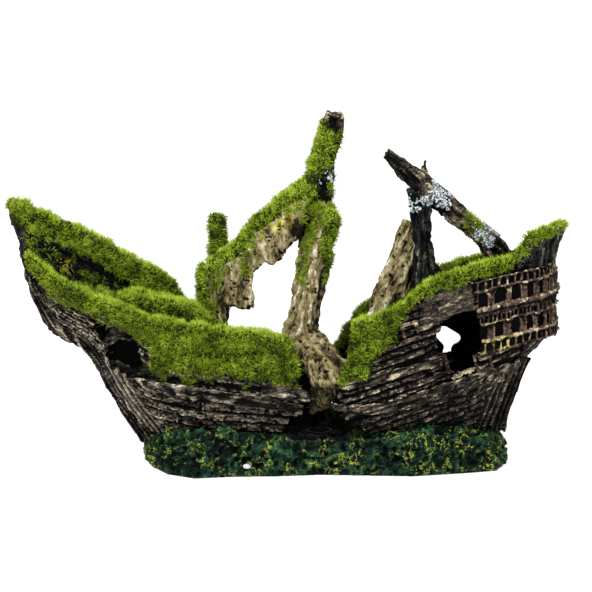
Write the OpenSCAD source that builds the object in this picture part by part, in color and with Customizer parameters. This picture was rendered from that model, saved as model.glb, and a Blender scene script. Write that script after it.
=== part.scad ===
// Sunken ship bubbling ornament for an aquarium or pond.
// A wreck in two cast halves stands on a reef base, with broken masts, rags of sail and flocked moss.
// An air stone sits in a cup in the base, under the open middle of the wreck.
// Bow towards -X, stern towards +X, the viewing side towards -Y, millimetres.

/* [Hull] */
// Thickness of the cast hull shells
hull_wall = 5; // [3:0.5:6]
// Thickness of the decks
deck_wall = 4; // [3:0.5:6]
// Half width of the stem and stern posts
post_half_w = 4.5; // [3:0.5:6]

/* [Moss] */
// Depth of the flocked moss on rails and sides
moss_depth = 3.5; // [2:0.5:5]
// Depth of the lichen crusts
lichen_depth = 1.5; // [1:0.5:2.5]

/* [Masts and sails] */
// Size of every mast and spar, as a share of its own
spar_size = 1; // [0.8:0.05:1.15]
// Thickness of the stiff sail rags
sail_wall = 5; // [3:0.5:6]

/* [Reef base] */
// Height of the base's flat top above the floor
base_h = 20; // [18:1:22]
// Height of the rubble heaps on the base
heap_h = 8; // [4:1:9]

/* [Air supply] */
// Outer diameter of the inlet nipple, for 4 mm airline
nipple_d = 4.5; // [4:0.1:5]
// Length of the nipple outside its flange
nipple_len = 9; // [6:1:12]
// Outer diameter of the captive airline
airline_od = 6; // [5.5:0.1:6.4]
// Inner diameter of the captive airline
airline_id = 4; // [3.6:0.1:4.2]
// Diameter of the air stone
stone_d = 13; // [10:0.5:14]
// Height of the air stone
stone_h = 9; // [8:0.5:12]

/* [Hidden] */

// Colours
wood = [0.33, 0.27, 0.22];
dark_wood = [0.16, 0.14, 0.13];
sail_tan = [0.62, 0.55, 0.4];
moss_green = [0.42, 0.56, 0.1];
rock_green = [0.1, 0.26, 0.18];
lichen_grey = [0.74, 0.79, 0.8];

gap = 0.15;          // air between the moss and the piece under it
spar_sides = 10;     // facets round a mast or spar
airline_z = 8;       // height of the airline's axis
stone_x = -4;        // place of the air stone
stone_y = -6;
floor_z = base_h;    // top of the base
foot_h = base_h - 11;        // the base's outline steps in above its foot
shoulder_h = base_h - 5;     // and again above its shoulder
rear_y = 50;         // back face of the base, where the air comes in
boss_w = 22;         // flat boss round the air inlet
boss_depth = 16;
cup_floor_z = base_h - 8;
cup_wall = 1.5;
cup_id = stone_d + 0.9;
cup_od = cup_id + 2 * cup_wall;
stone_z = cup_floor_z + 1.3;
stem_r = 2;          // the stem under the air stone slides in the elbow
elbow_r = 5;
elbow_foot_z = airline_z - 4;
grommet_r = 5.95;
grommet_len = 6;

// ---- Hull rails: from the broken end or prow along each half, top edge to bottom edge ----

// Bow half, near side, prow to break
bow_near = [
    [[-187, -5, 132], [-176, -14, 124], [-166, -21, 117], [-148, -31, 110], [-136, -36, 107],
     [-122, -41, 102], [-104, -44, 96], [-79, -46, 92], [-47, -45, 89], [-32, -43, 85.5], [-17, -42, 82]],
    [[-185, -4, 126], [-176, -10, 114], [-166, -15, 105], [-148, -23, 97], [-136, -28, 90],
     [-124, -34, 80], [-104, -42, 74], [-79, -46, 71], [-47, -45, 68], [-32, -43, 65], [-17, -42, 61]],
    [[-183, -3, 120], [-176, -6, 107], [-167, -9, 95], [-149, -13, 85], [-138, -17, 73],
     [-128, -21, 58], [-106, -36, 55], [-79, -43, 52], [-48, -43, 48], [-29, -42, 44], [-14, -41, 41]],
    [[-182, -2, 115], [-175, -2, 100], [-167, -2, 87], [-149, -2, 77], [-139, -2, 63],
     [-130, -3, 46], [-112, -7, 21], [-80, -22, 18], [-56, -25, 18], [-42, -26, 18], [-34, -26, 19]],
];
// Bow half, far side, prow to break
bow_far = [
    [[-196, 2, 164], [-181, 8, 157], [-166, 14, 149], [-144, 24, 137], [-129, 30, 126],
     [-110, 34, 115], [-94, 36, 103], [-84, 37, 82], [-54, 39, 72], [-26, 39, 66], [2, 36, 58]],
    [[-191, 2, 148], [-178, 6, 135], [-166, 10, 124], [-146, 20, 113], [-133, 27, 103],
     [-116, 34, 94], [-98, 38, 86], [-82, 40, 69], [-53, 41, 62], [-26, 41, 57], [2, 38, 50]],
    [[-187, 2, 132], [-177, 4, 117], [-167, 6, 103], [-149, 12, 90], [-138, 17, 76],
     [-128, 22, 62], [-106, 33, 56], [-80, 38, 49], [-52, 39, 44], [-26, 39, 40], [2, 36, 36]],
    [[-182, 2, 117], [-175, 2, 102], [-167, 2, 88], [-149, 2, 78], [-139, 2, 64],
     [-130, 3, 47], [-112, 7, 21], [-80, 22, 18], [-52, 25, 18], [-26, 26, 18], [2, 25, 18]],
];
// Stern half, near side, break to stern corner
stern_near = [
    [[16, -41, 93], [31, -42, 97], [46, -43, 104], [56, -43, 114], [68, -43, 121],
     [82, -42, 126], [97, -40, 130], [112, -37, 133], [125, -34, 135]],
    [[10, -43, 65], [24, -45, 68], [38, -46, 73], [52, -46, 78], [67, -46, 82],
     [82, -44, 84], [98, -41, 86], [113, -36, 88], [125, -33, 90]],
    [[4, -43, 47], [19, -45, 46], [34, -46, 48], [49, -46, 52], [64, -45, 57],
     [78, -42, 61], [93, -36, 64], [108, -24, 66], [121, -8, 68]],
    [[13, -37, 33], [24, -34, 26], [36, -30, 19], [48, -27, 18], [60, -23, 18],
     [73, -18, 18], [86, -12, 18], [97, -7, 20], [106, -3, 24]],
];
// Stern half, far side, break to stern corner
stern_far = [
    [[4, 36, 60], [16, 37, 78], [28, 38, 93], [41, 38, 98], [55, 38, 105],
     [70, 38, 113], [87, 37, 118], [105, 35, 123], [124, 33, 132]],
    [[4, 38, 50], [17, 40, 58], [29, 41, 65], [42, 41, 70], [55, 41, 75],
     [71, 41, 79], [88, 40, 82], [106, 37, 86], [124, 33, 90]],
    [[4, 37, 36], [18, 39, 42], [30, 40, 46], [43, 40, 50], [56, 39, 54],
     [71, 38, 57], [87, 34, 61], [104, 24, 64], [121, 8, 68]],
    [[4, 25, 18], [18, 26, 18], [30, 26, 18], [43, 25, 18], [56, 22, 18],
     [69, 18, 18], [82, 13, 18], [95, 7, 20], [106, 3, 24]],
];
// Rounded stern, near corner to far corner: top, foot of the galleries, counter
transom = [
    [[124, -33, 135], [134.5, -21, 136], [141, -2, 136], [138, 19, 134], [123, 32, 132]],
    [[124, -32, 88], [134.5, -21, 88], [140.5, -2, 87], [137.5, 19, 88], [123, 32, 90]],
    [[121, -8, 68], [124, -5, 67], [125, 0, 66], [124, 5, 67], [121, 8, 68]],
];
// Plan of the galleries' outer face, from the near side round the stern
gallery_plan = [[84, -45.5, -8], [104, -43, -4], [125, -37.5, 0], [137.5, -24, 0.5], [143.5, -2, 0.5],
                [141, 21, 0], [128, 34.5, -1]];

// ---- Lines of the masts and spars, with a radius at each point ----
spar_line = [[-70, 2, 121], [-60, 1, 128], [-53, 0, 134], [-40, 0, 149], [-25, 0, 162], [-6, 0, 174]];
spar_r = [6, 5.5, 5, 5, 5.5, 7];
top_line = [[-7, 0, 158], [-5, 0, 166], [-3, 0, 180], [-1, 0, 190], [1.5, 0, 199], [4.5, 0, 212], [6, -1, 221]];
top_r = [7, 8, 8, 7.4, 6.8, 6.6, 6];
leg_line = [[-65, -2, 84], [-66, -1, 96], [-71, 0, 104], [-72, 1, 114], [-70, 1.5, 124]];
leg_r = [3.6, 3.8, 5.6, 6, 6];
stump_line = [[-66, 12, 82], [-66, 12, 110], [-67, 11, 135], [-68, 10, 153], [-68, 10, 156]];
stump_r = [5, 4.8, 4, 3.6, 2.8];
mast_line = [[64, -5, 110], [63, -5, 119], [61, -5, 134], [60, -5, 149], [59, -5.5, 162], [58, -6, 174]];
mast_r = [12.5, 10, 6.6, 6.2, 7.4, 8.6];
yard_line = [[37, -7, 197], [44, -7, 191], [54, -6.5, 182], [66, -6, 172], [79, -6, 161], [93, -6, 148],
             [104, -6, 138], [113, -6, 130]];
yard_r = [3.4, 5, 6.5, 8.6, 7.2, 6.2, 7.4, 6.4];
twig_line = [[59, -5.5, 178], [61, -5, 186], [62, -4.5, 193]];
twig_r = [2.4, 1.9, 1.1];
stem_line = [[-184, 0, 123], [-176, 0, 99], [-168, 0, 86], [-151, 0, 77], [-142, 0, 68], [-136, 0, 54],
             [-124, 0, 34], [-111, 0, 14]];
prow_line = [[-183, 0, 119], [-187, 1, 134], [-190, 1, 146], [-193, 2, 156], [-196, 2, 166]];
prow_r = [5, 4.2, 3.6, 4.4, 3.4];
sternpost_line = [[123, 0, 68], [119, 0, 58], [114, 0, 44], [109, 0, 30], [107, 0, 20]];

// Outline of the base's foot
base_outline = [[-113, 0], [-108, -21], [-98, -40], [-81, -51], [-57, -46], [-30, -45], [-3, -41],
                [25, -43], [54, -45], [89, -36], [107, -30], [113, -8], [112, 14], [104, 34], [80, 44],
                [50, rear_y], [-50, rear_y], [-80, 48], [-102, 34], [-112, 14]];

// Mouths of the three caves, as X and Z outlines
bow_mouth = [[-146, 95], [-130, 93], [-119, 89], [-114, 82], [-116, 76], [-112, 68], [-104, 60],
             [-111, 57], [-123, 58], [-134, 62], [-137, 70], [-138, 79], [-143, 87]];
stern_mouth = [[68, 88], [72, 98], [79, 102], [88, 104], [96, 103], [98, 92], [96, 78], [94, 66],
               [84, 64], [76, 67], [74, 76], [69, 80]];
far_window = [[71, 71], [71, 76], [74, 78.5], [77, 78.5], [81, 76], [85.5, 73.5], [86.5, 71], [85, 68.5],
              [81.5, 67], [80, 64], [81, 60], [83, 57], [75, 57], [74.5, 60], [76, 66]];

// ---- Geometry helpers ----
function unit(v) = v / max(norm(v), 0.0001);
// Point at t (0 to 1) on a smooth curve through the points p
function curve(p, t) =
    let (n = len(p) - 1, s = min(max(t * n, 0), n - 0.0001), i = floor(s), f = s - i,
         a = p[max(i - 1, 0)], b = p[i], c = p[i + 1], d = p[min(i + 2, n)])
    0.5 * (2 * b + (c - a) * f + (2 * a - 5 * b + 4 * c - d) * f * f
           + (3 * b - a - 3 * c + d) * f * f * f);
// Grid of points over a surface that passes through the rails
function loft(rails, nu, nv) =
    [for (i = [0:nu]) let (rib = [for (r = rails) curve(r, i / nu)]) [for (j = [0:nv]) curve(rib, j / nv)]];
// The same grid, moved by d along its own normals: out of the near side, into the far side
function raised(g, d) =
    let (nu = len(g) - 1, nv = len(g[0]) - 1)
    [for (i = [0:nu]) [for (j = [0:nv])
        let (a = g[min(i + 1, nu)][j] - g[max(i - 1, 0)][j],
             b = g[i][min(j + 1, nv)] - g[i][max(j - 1, 0)])
        g[i][j] + d * unit(cross(b, a))]];
// The same grid, moved by one vector
function moved(g, v) = [for (row = g) [for (q = row) q + v]];
// The rows of a grid from i0 to i1
function rows(g, i0, i1) = [for (i = [i0:i1]) g[i]];
function columns(g, j0, j1) = [for (row = g) [for (j = [j0:j1]) row[j]]];
// Arc of points round a line, from angle a0 to a1: 0 below or right, 90 far, 180 above or left, 270 near
function arc_grid(line, radii, rings, a0, a1, step, extra) =
    [for (i = [0:rings])
        let (t = i / rings, c = curve(line, t), r = curve(radii, t) * spar_size + extra,
             tangent = unit(curve(line, min(t + 0.01, 1)) - curve(line, max(t - 0.01, 0))),
             u = unit(cross([0, 1, 0], tangent)), w = cross(tangent, u))
        [for (a = [a0:step:a1]) c + r * (cos(a) * u + sin(a) * w)]];
function signed_volume(pts, faces) =
    [for (f = faces) pts[f[0]] * cross(pts[f[1]], pts[f[2]])] * [for (f = faces) 1];
function flipped(faces) = [for (f = faces) [f[0], f[2], f[1]]];

// Solid from points and triangles, whichever way round the triangles were listed
module solid(pts, faces) {
    polyhedron(points = pts, faces = signed_volume(pts, faces) > 0 ? flipped(faces) : faces, convexity = 8);
}
// Solid between two grids of the same size
module plate(a, b) {
    nu = len(a) - 1;
    nv = len(a[0]) - 1;
    w = nv + 1;
    k = (nu + 1) * w;
    pts = [for (row = a) each row, for (row = b) each row];
    cells = [for (i = [0:nu - 1]) for (j = [0:nv - 1]) i * w + j];
    top = [for (c = cells) each [[c, c + w, c + w + 1], [c, c + w + 1, c + 1]]];
    under = [for (f = top) [f[0] + k, f[2] + k, f[1] + k]];
    side_a = [for (i = [0:nu - 1]) let (c = i * w) each [[c + w, c, c + k], [c + w, c + k, c + w + k]]];
    side_b = [for (i = [0:nu - 1]) let (c = i * w + nv)
        each [[c, c + w, c + w + k], [c, c + w + k, c + k]]];
    end_a = [for (j = [0:nv - 1]) each [[j, j + 1, j + 1 + k], [j, j + 1 + k, j + k]]];
    end_b = [for (j = [0:nv - 1]) let (c = nu * w + j)
        each [[c + 1, c, c + k], [c + 1, c + k, c + 1 + k]]];
    solid(pts, concat(top, under, side_a, side_b, end_a, end_b));
}
// Solid skinned over closed rings of points, with fans over its two ends
module skin(rings) {
    nu = len(rings) - 1;
    n = len(rings[0]);
    k = (nu + 1) * n;
    pts = [for (r = rings) each r, middle(rings[0]), middle(rings[nu])];
    wall = [for (i = [0:nu - 1]) for (j = [0:n - 1])
        let (a = i * n + j, b = i * n + (j + 1) % n) each [[a, a + n, b + n], [a, b + n, b]]];
    cap_a = [for (j = [0:n - 1]) [k, j, (j + 1) % n]];
    cap_b = [for (j = [0:n - 1]) [k + 1, nu * n + (j + 1) % n, nu * n + j]];
    solid(pts, concat(wall, cap_a, cap_b));
}
function middle(ring) = [for (i = [0:2]) [for (q = ring) q[i]] * [for (q = ring) 1] / len(ring)];
// Round spar along a line
module spar(line, radii, rings) {
    turn = 360 / spar_sides;
    skin(arc_grid(line, radii, rings, 0, 360 - turn, turn, 0));
}
// Coat over part of a spar, on arcs that match the spar's own facets
module coat(line, radii, rings, a0, a1, depth, from = 0, to = 0) {
    last = to == 0 ? rings : to;
    turn = 360 / spar_sides;
    outer = arc_grid(line, radii, rings, a0, a1, turn, gap + depth);
    inner = arc_grid(line, radii, rings, a0, a1, turn, gap);
    plate(rows(outer, from, last), rows(inner, from, last));
}
// Flat bar along a line in the X-Z plane
module bar(line, rings, half_y, depth) {
    skin([for (i = [0:rings])
        let (t = i / rings, c = curve(line, t),
             tangent = unit(curve(line, min(t + 0.01, 1)) - curve(line, max(t - 0.01, 0))),
             u = unit(cross([0, 1, 0], tangent)) * depth / 2, y = [0, half_y, 0])
        [c - u - 0.5 * y, c - u + 0.5 * y, c + y, c + u + 0.7 * y, c + u - 0.7 * y, c - y]]);
}
// Prism through the hull along Y, with an outline in X and Z
module mouth(outline, y0, y1) {
    translate([0, y1, 0]) rotate([90, 0, 0]) linear_extrude(y1 - y0) polygon(outline);
}
// Heap of rubble on the base, along a line, with a radius at each point
module heap(line, radii, rings) {
    skin([for (i = [0:rings])
        let (t = i / rings, c = curve(line, t), r = curve(radii, t), h = heap_h * r / max(radii))
        [for (a = [0:30:180]) [c[0], c[1] - r * cos(a), floor_z + h * sin(a)]]]);
}

// ---- Reef base ----
module reef_base() {
    color(rock_green) difference() {
        union() {
            linear_extrude(foot_h) polygon(base_outline);
            linear_extrude(shoulder_h) scale(0.97) polygon(base_outline);
            linear_extrude(base_h) scale(0.93) polygon(base_outline);
            translate([stone_x - boss_w / 2, rear_y - boss_depth, 0]) cube([boss_w, boss_depth, base_h - 3]);
        }
        // recess for the stone cup, well for the elbow, channel for the airline and seat for the grommet
        translate([stone_x, stone_y, cup_floor_z]) cylinder(d = cup_od + 0.1, h = base_h, $fn = 48);
        translate([stone_x, stone_y, elbow_foot_z]) cylinder(r = elbow_r + 0.1, h = base_h, $fn = 48);
        translate([stone_x, rear_y + 1, airline_z]) rotate([90, 0, 0])
            cylinder(d = airline_od + 0.3, h = rear_y + 1 - stone_y, $fn = 48);
        translate([stone_x, rear_y + 1, airline_z]) rotate([90, 0, 0])
            cylinder(r = grommet_r + 0.05, h = grommet_len + 1, $fn = 48);
    }
}
module reef_heap_bow() {
    color(rock_green) heap([[-98, -24, 0], [-80, -36, 0], [-60, -38, 0], [-44, -36, 0]], [4, 7, 6.5, 3], 9);
}
module reef_heap_middle() {
    color(rock_green) heap([[-40, 32, 0], [-18, 34, 0], [8, 34, 0], [30, 35, 0]], [4, 8, 7, 4], 9);
}
module reef_heap_stern() {
    color(rock_green) heap([[30, -36, 0], [48, -34.5, 0], [70, -29, 0], [92, -19, 0]], [3, 6, 7, 4], 9);
}

// ---- Air supply ----
module inlet_nipple() {
    color([0.8, 0.8, 0.78]) translate([stone_x, rear_y, airline_z]) rotate([-90, 0, 0]) difference() {
        union() {
            translate([0, 0, -12]) cylinder(d = airline_id, h = 12, $fn = 48);
            cylinder(r = 5, h = 1.5, $fn = 48);
            translate([0, 0, 1.5]) cylinder(d = nipple_d, h = nipple_len, $fn = 48);
        }
        translate([0, 0, -13]) cylinder(d = 2, h = nipple_len + 16, $fn = 32);
    }
}
module inlet_grommet() {
    color([0.12, 0.12, 0.12]) translate([stone_x, rear_y - grommet_len, airline_z]) rotate([-90, 0, 0]) difference() {
        cylinder(r = grommet_r, h = grommet_len, $fn = 48);
        translate([0, 0, -1]) cylinder(d = airline_od + 0.1, h = grommet_len + 2, $fn = 48);
    }
}
module airline_tube() {
    color([0.7, 0.82, 0.86, 0.7]) translate([stone_x, rear_y - 0.1, airline_z]) rotate([90, 0, 0]) difference() {
        cylinder(d = airline_od, h = rear_y - stone_y - elbow_r - 0.4, $fn = 48);
        translate([0, 0, -1]) cylinder(d = airline_id, h = rear_y - stone_y, $fn = 48);
    }
}
module elbow_fitting() {
    color([0.2, 0.2, 0.22]) translate([stone_x, stone_y, 0]) difference() {
        union() {
            translate([0, 0, elbow_foot_z]) cylinder(r = elbow_r, h = cup_floor_z - elbow_foot_z, $fn = 48);
            translate([0, 4, airline_z]) rotate([-90, 0, 0]) cylinder(d = airline_id, h = 8, $fn = 48);
        }
        translate([0, 0, airline_z - 1.5]) cylinder(r = stem_r + 0.05, h = 20, $fn = 48);
        translate([0, 0, airline_z]) rotate([-90, 0, 0]) cylinder(r = 1, h = 20, $fn = 32);
    }
}
module stone_cup() {
    color([0.22, 0.24, 0.24]) translate([stone_x, stone_y, cup_floor_z]) difference() {
        cylinder(d = cup_od, h = base_h - cup_floor_z + 1, $fn = 48);
        translate([0, 0, 1.2]) cylinder(d = cup_id, h = base_h, $fn = 48);
        translate([0, 0, -1]) cylinder(r = 3, h = 4, $fn = 32);
    }
}
module air_stone() {
    color([0.45, 0.52, 0.6]) translate([stone_x, stone_y, stone_z]) difference() {
        rotate_extrude($fn = 48) polygon([[0, 0], [stone_d / 2 - 0.8, 0], [stone_d / 2, 0.8],
            [stone_d / 2, stone_h - 2], [stone_d / 2 - 2, stone_h], [0, stone_h]]);
        translate([0, 0, -1]) cylinder(r = stem_r, h = 6, $fn = 48);
    }
}
module air_stone_stem() {
    color([0.8, 0.8, 0.78]) translate([stone_x, stone_y, 0]) difference() {
        translate([0, 0, airline_z - 1]) cylinder(r = stem_r, h = stone_z + 5 - airline_z + 1, $fn = 48);
        translate([0, 0, airline_z - 2]) cylinder(r = 0.9, h = 20, $fn = 32);
    }
}

// ---- Bow half ----
module bow_hull_near() {
    g = loft(bow_near, 24, 10);
    color(wood) difference() {
        plate(g, raised(g, -hull_wall));
        mouth(bow_mouth, -60, -4);
    }
}
module bow_hull_far() {
    g = loft(bow_far, 24, 10);
    color(wood) plate(g, raised(g, hull_wall));
}
module bow_stem_post() {
    color(dark_wood) bar(stem_line, 14, post_half_w, 10);
}
module prow_timber() {
    color(dark_wood) spar(prow_line, prow_r, 8);
}
module bow_deck() {
    near = [[-178, -5, 115], [-160, -17, 107], [-147, -25, 103], [-125, -33, 96], [-100, -37, 87],
            [-75, -39, 82], [-45, -38, 79], [-12, -36, 71]];
    far = [[-181, 1, 121], [-160, 8, 114], [-147, 15, 109], [-125, 23, 101], [-100, 28, 91],
           [-75, 33, 74], [-45, 34, 67], [-12, 33, 60]];
    g = loft([near, (near + far) / 2 + [for (q = near) [0, 0, 1]], far], 14, 4);
    color(dark_wood) plate(g, moved(g, [0, 0, -deck_wall]));
}
module bow_wale_near() {
    g = columns(rows(raised(loft(bow_near, 24, 20), gap), 13, 24), 12, 14);
    color(wood) plate(raised(g, 2.2), g);
}
module bow_wale_far() {
    g = columns(rows(raised(loft(bow_far, 24, 20), -gap), 11, 24), 12, 14);
    color(wood) plate(raised(g, -2.2), g);
}
module bow_plank_end() {
    color(wood) skin([for (i = [0:6])
        let (t = i / 6, c = [-40 + 30 * t, -45.5 - 0.5 * t, 55 - 4 * t], r = i == 6 ? 3 : 5.5)
        [for (a = [0:45:315]) c + [0, 0.35 * r * cos(a), r * sin(a)]]]);
}
module bow_cave_lining() {
    color(dark_wood) translate([-140, -6, 55]) rotate([0, 4, -14]) cube([34, 3, 36]);
}

// ---- Fore masts and sails ----
module fore_stump() {
    color(dark_wood) spar(stump_line, stump_r, 7);
}
module fore_spar() {
    color(dark_wood) spar(spar_line, spar_r, 12);
}
module fore_topmast() {
    color(dark_wood) spar(top_line, top_r, 12);
}
module fore_leg() {
    color(wood) spar(leg_line, leg_r, 8);
}
module left_sail() {
    top = [[-70, -3, 124], [-62, -4, 127], [-54, -4, 132], [-47, -4, 139]];
    foot = [[-66, -3, 103], [-59, -5, 101], [-52, -6, 99], [-46, -6, 101]];
    g = loft([top, (top + foot) / 2 + [for (q = top) [0, -1.5, 0]], foot], 6, 4);
    color(sail_tan) plate(moved(g, [0, -sail_wall, 0]), g);
}
module hanging_sail() {
    top = [[-47, -4, 140], [-39, -4, 149], [-31, -4, 156], [-23, -4, 163], [-12, -4, 169]];
    foot = [[-46, -6, 121], [-40, -7, 128], [-31, -6, 128], [-26, -6, 134], [-16, -5, 145]];
    g = loft([top, (top + foot) / 2 + [for (q = top) [0, -2, 0]], foot], 10, 4);
    color(sail_tan) plate(moved(g, [0, -sail_wall, 0]), g);
}
module main_sail() {
    // left edge, a raised fold and right edge, from the masthead down to the root
    left = [[-14, -2, 166], [-17, -3, 144], [-18, -5, 131], [-21, -8, 115], [-24, -12, 98], [-29, -16, 78]];
    fold = [[-4, -9, 166], [-6, -11, 144], [-7, -13, 131], [-11, -16, 115], [-14, -20, 98], [-18, -24, 78]];
    right = [[6, -1, 163], [5, -2, 144], [4, -4, 131], [1, -6, 115], [-3, -8, 98], [-4, -12, 78]];
    back = [for (q = fold) q + [0, 14, 0]];
    color(sail_tan) skin([for (i = [0:14]) let (t = i / 14) [
        curve(left, t), (curve(left, t) + curve(fold, t)) / 2 + [0, 1, 0], curve(fold, t),
        (curve(right, t) + curve(fold, t)) / 2 + [0, -1, 0], curve(right, t), curve(back, t)]]);
}
module sail_root() {
    // broad stiff fold of sail that fills the break between the two halves
    color(sail_tan) skin([
        for (s = [[[-14, -16, 84], 12, 8], [[-9, -22, 78], 12, 10], [[-3, -28, 71], 12, 13], [[2, -32, 64], 13, 11],
                  [[0, -36, 56], 8.5, 8], [[-1, -38, 48], 7.5, 7], [[-3, -38, 41], 5.5, 5]])
        [for (a = [0:30:330]) s[0] + [s[1] * cos(a), s[2] * sin(a), 2 * cos(a)]]]);
}

// ---- Aft mast, yard and sail ----
module aft_mast() {
    color(dark_wood) spar(mast_line, mast_r, 10);
}
module aft_yard() {
    // the yard with its broken-off twig
    color(dark_wood) union() {
        spar(yard_line, yard_r, 14);
        spar(twig_line, twig_r, 4);
    }
}
module aft_sail() {
    left = [[48, 2, 153], [42, 0, 138], [36, -2, 123], [30, -4, 108], [27, -5, 94]];
    right = [[56, 4, 153], [57, 3, 138], [57, 2, 123], [52, 0, 112], [46, -1, 95]];
    g = loft([left, (left + right) / 2 + [for (q = left) [0, -4, 0]], right], 10, 4);
    color(sail_tan) plate(moved(g, [0, -sail_wall, 0]), g);
}

// ---- Stern half ----
module stern_hull_near() {
    g = loft(stern_near, 22, 10);
    color(wood) difference() {
        plate(g, raised(g, -hull_wall));
        mouth(stern_mouth, -60, -20);
    }
}
module stern_hull_far() {
    g = loft(stern_far, 22, 10);
    color(wood) difference() {
        plate(g, raised(g, hull_wall));
        mouth(far_window, 20, 60);
    }
}
module stern_transom() {
    g = loft(transom, 14, 8);
    color(wood) plate(g, raised(g, -hull_wall));
}
module stern_post() {
    color(dark_wood) bar(sternpost_line, 8, post_half_w, 12);
}
module stern_deck() {
    near = [[18, -38, 84], [33, -38, 88], [48, -38, 95], [62, -38, 108], [80, -37, 116], [100, -35, 121],
            [122, -30, 124]];
    far = [[20, 33, 76], [33, 34, 84], [48, 34, 90], [62, 33, 98], [80, 32, 106], [100, 31, 112],
           [122, 28, 118]];
    g = loft([near, (near + far) / 2, far], 12, 4);
    color(dark_wood) plate(g, moved(g, [0, 0, -deck_wall]));
}
module stern_wale_upper() {
    g = columns(rows(raised(loft(stern_near, 22, 24), gap), 0, 12), 10, 12);
    color(wood) plate(raised(g, 2.4), g);
}
module stern_wale_lower() {
    g = columns(rows(raised(loft(stern_near, 22, 24), gap), 0, 22), 16, 18);
    color(wood) plate(raised(g, 2.4), g);
}
module stern_wale_far() {
    g = columns(rows(raised(loft(stern_far, 22, 24), -gap), 0, 22), 15, 17);
    color(wood) plate(raised(g, -2.4), g);
}

// ---- Galleries round the stern ----
// Strip round the stern between heights z0 and z1, standing out by stand, as thick as wall.
// It begins the share t0 of the way along the plan.
module storey(t0, z0, z1, stand, wall) {
    line = [for (i = [0:14]) curve(gallery_plan, t0 + (1 - t0) * i / 14)];
    out = [for (i = [0:14])
        let (d = line[min(i + 1, 14)] - line[max(i - 1, 0)]) unit([d[1], -d[0], 0])];
    face = [for (i = [0:14]) let (p = line[i] + stand * out[i]) [p + [0, 0, z0], p + [0, 0, z1]]];
    back = [for (i = [0:14]) let (p = line[i] + (stand - wall) * out[i]) [p + [0, 0, z0], p + [0, 0, z1]]];
    plate(face, back);
}
module gallery_arcade() {
    color(wood) storey(0.05, 112, 129, 0, 2);
}
module gallery_ledge() {
    color(wood) storey(0.07, 107, 112, 2.2, 4.2);
}
module gallery_windows() {
    color(wood) storey(0.07, 91, 107, -0.4, 1.6);
}
module gallery_balustrade() {
    color(wood) storey(0.07, 84, 91, 2, 4);
}
// Pilasters between the windows, standing on the faces of two storeys
module gallery_pilasters() {
    count = 13;
    color(wood) for (level = [[112.5, 10, 0.1], [91.5, 15, -0.3]], i = [2:count - 1]) {
        t = i / count;
        p = curve(gallery_plan, t);
        d = curve(gallery_plan, t + 0.01) - curve(gallery_plan, t - 0.01);
        translate([p[0], p[1], p[2] + level[0]]) rotate([0, 0, atan2(d[1], d[0])])
            translate([-1, -1.4 - level[2], 0]) cube([2, 1.3, level[1]]);
    }
}
// Square frames round three gun ports on the near side
module gun_port_frames() {
    color(sail_tan) for (p = [[52, -46, 92], [70, -46.4, 71], [97, -40.6, 72]])
        translate(p) rotate([0, -16, 0]) difference() {
            cube([11, 1.8, 12], center = true);
            cube([7, 4, 8], center = true);
        }
}
module taffrail() {
    // broken top of the stern, rising towards the far quarter
    plan = [[118, -38, 0], [127, -34.5, 0], [136, -26, 0], [142, -14, 0], [144, 0, 0], [142, 12, 0]];
    flare = [0, 0.5, 2, 4, 5, 3];
    crest = [140, 149, 153, 152, 152, 143];
    n = 10;
    // leans outward by its flare at the crest
    face = [for (i = [0:n]) let (p = curve(plan, i / n), z = curve(crest, i / n), f = curve(flare, i / n))
        [[p[0], p[1], 130], [p[0] + f / 2, p[1], (130 + z) / 2], [p[0] + f, p[1], z]]];
    back = [for (i = [0:n]) let (p = curve(plan, i / n), z = curve(crest, i / n), f = curve(flare, i / n),
        q = p + 6 * unit([118, 0, 0] - p))
        [[q[0], q[1], 132], [q[0] + f / 2, q[1], (132 + z) / 2], [q[0] + f, q[1], z - 1]]];
    color(wood) plate(face, back);
}

// ---- Moss ----
// Coat that rides over the top edge of a hull shell
module rail_moss(rails, nu, i0, i1, side, drop) {
    g = loft(rails, nu, 12);
    edge = rows([for (row = g) [row[0]]], i0, i1);
    section = [[-1, -1], [-1, 0.35], [-0.5, 0.95], [0.5, 1], [1, 0.4], [1, -1]];
    half_w = hull_wall / 2 + moss_depth;
    outer = [for (e = edge) [for (s = section)
        e[0] + [0, side * (s[0] * half_w - hull_wall / 2), s[1] < 0 ? -drop : s[1] * (moss_depth + 1)]]];
    inner = [for (e = edge) [for (s = section)
        e[0] + [0, side * (s[0] * (hull_wall / 2 + 0.5) - hull_wall / 2), s[1] < 0 ? -drop : 0.6]]];
    plate(outer, inner);
}
module moss_bow_near_rail() {
    color(moss_green) rail_moss(bow_near, 24, 0, 23, -1, 8);
}
module moss_bow_far_rail() {
    color(moss_green) rail_moss(bow_far, 24, 0, 16, 1, 14);
}
module moss_bow_drape() {
    g = columns(rows(raised(loft(bow_near, 24, 20), gap), 14, 24), 2, 9);
    color(moss_green) plate(raised(g, moss_depth), g);
}
module moss_deck_ridge() {
    color(moss_green) skin([for (s = [[[-131, -2, 103], 5], [[-118, 0, 102], 8], [[-100, 1, 98], 9],
            [[-84, -1, 94], 9], [[-72, -5, 90], 7], [[-66, -8, 87], 4]])
        [for (a = [0:30:330]) s[0] + [0, 1.3 * s[1] * cos(a), s[1] * max(sin(a), -0.35)]]]);
}
module moss_stump() {
    color(moss_green) coat(stump_line, stump_r, 7, 108, 432, moss_depth / 2, 2, 7);
}
module moss_spar() {
    color(moss_green) {
        coat(spar_line, spar_r, 12, 108, 288, moss_depth, 0, 12);
        coat(leg_line, leg_r, 8, 108, 252, moss_depth, 2, 8);
    }
}
module moss_topmast() {
    color(moss_green) coat(top_line, top_r, 12, 144, 288, 0.7 * moss_depth, 3, 11);
}
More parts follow.
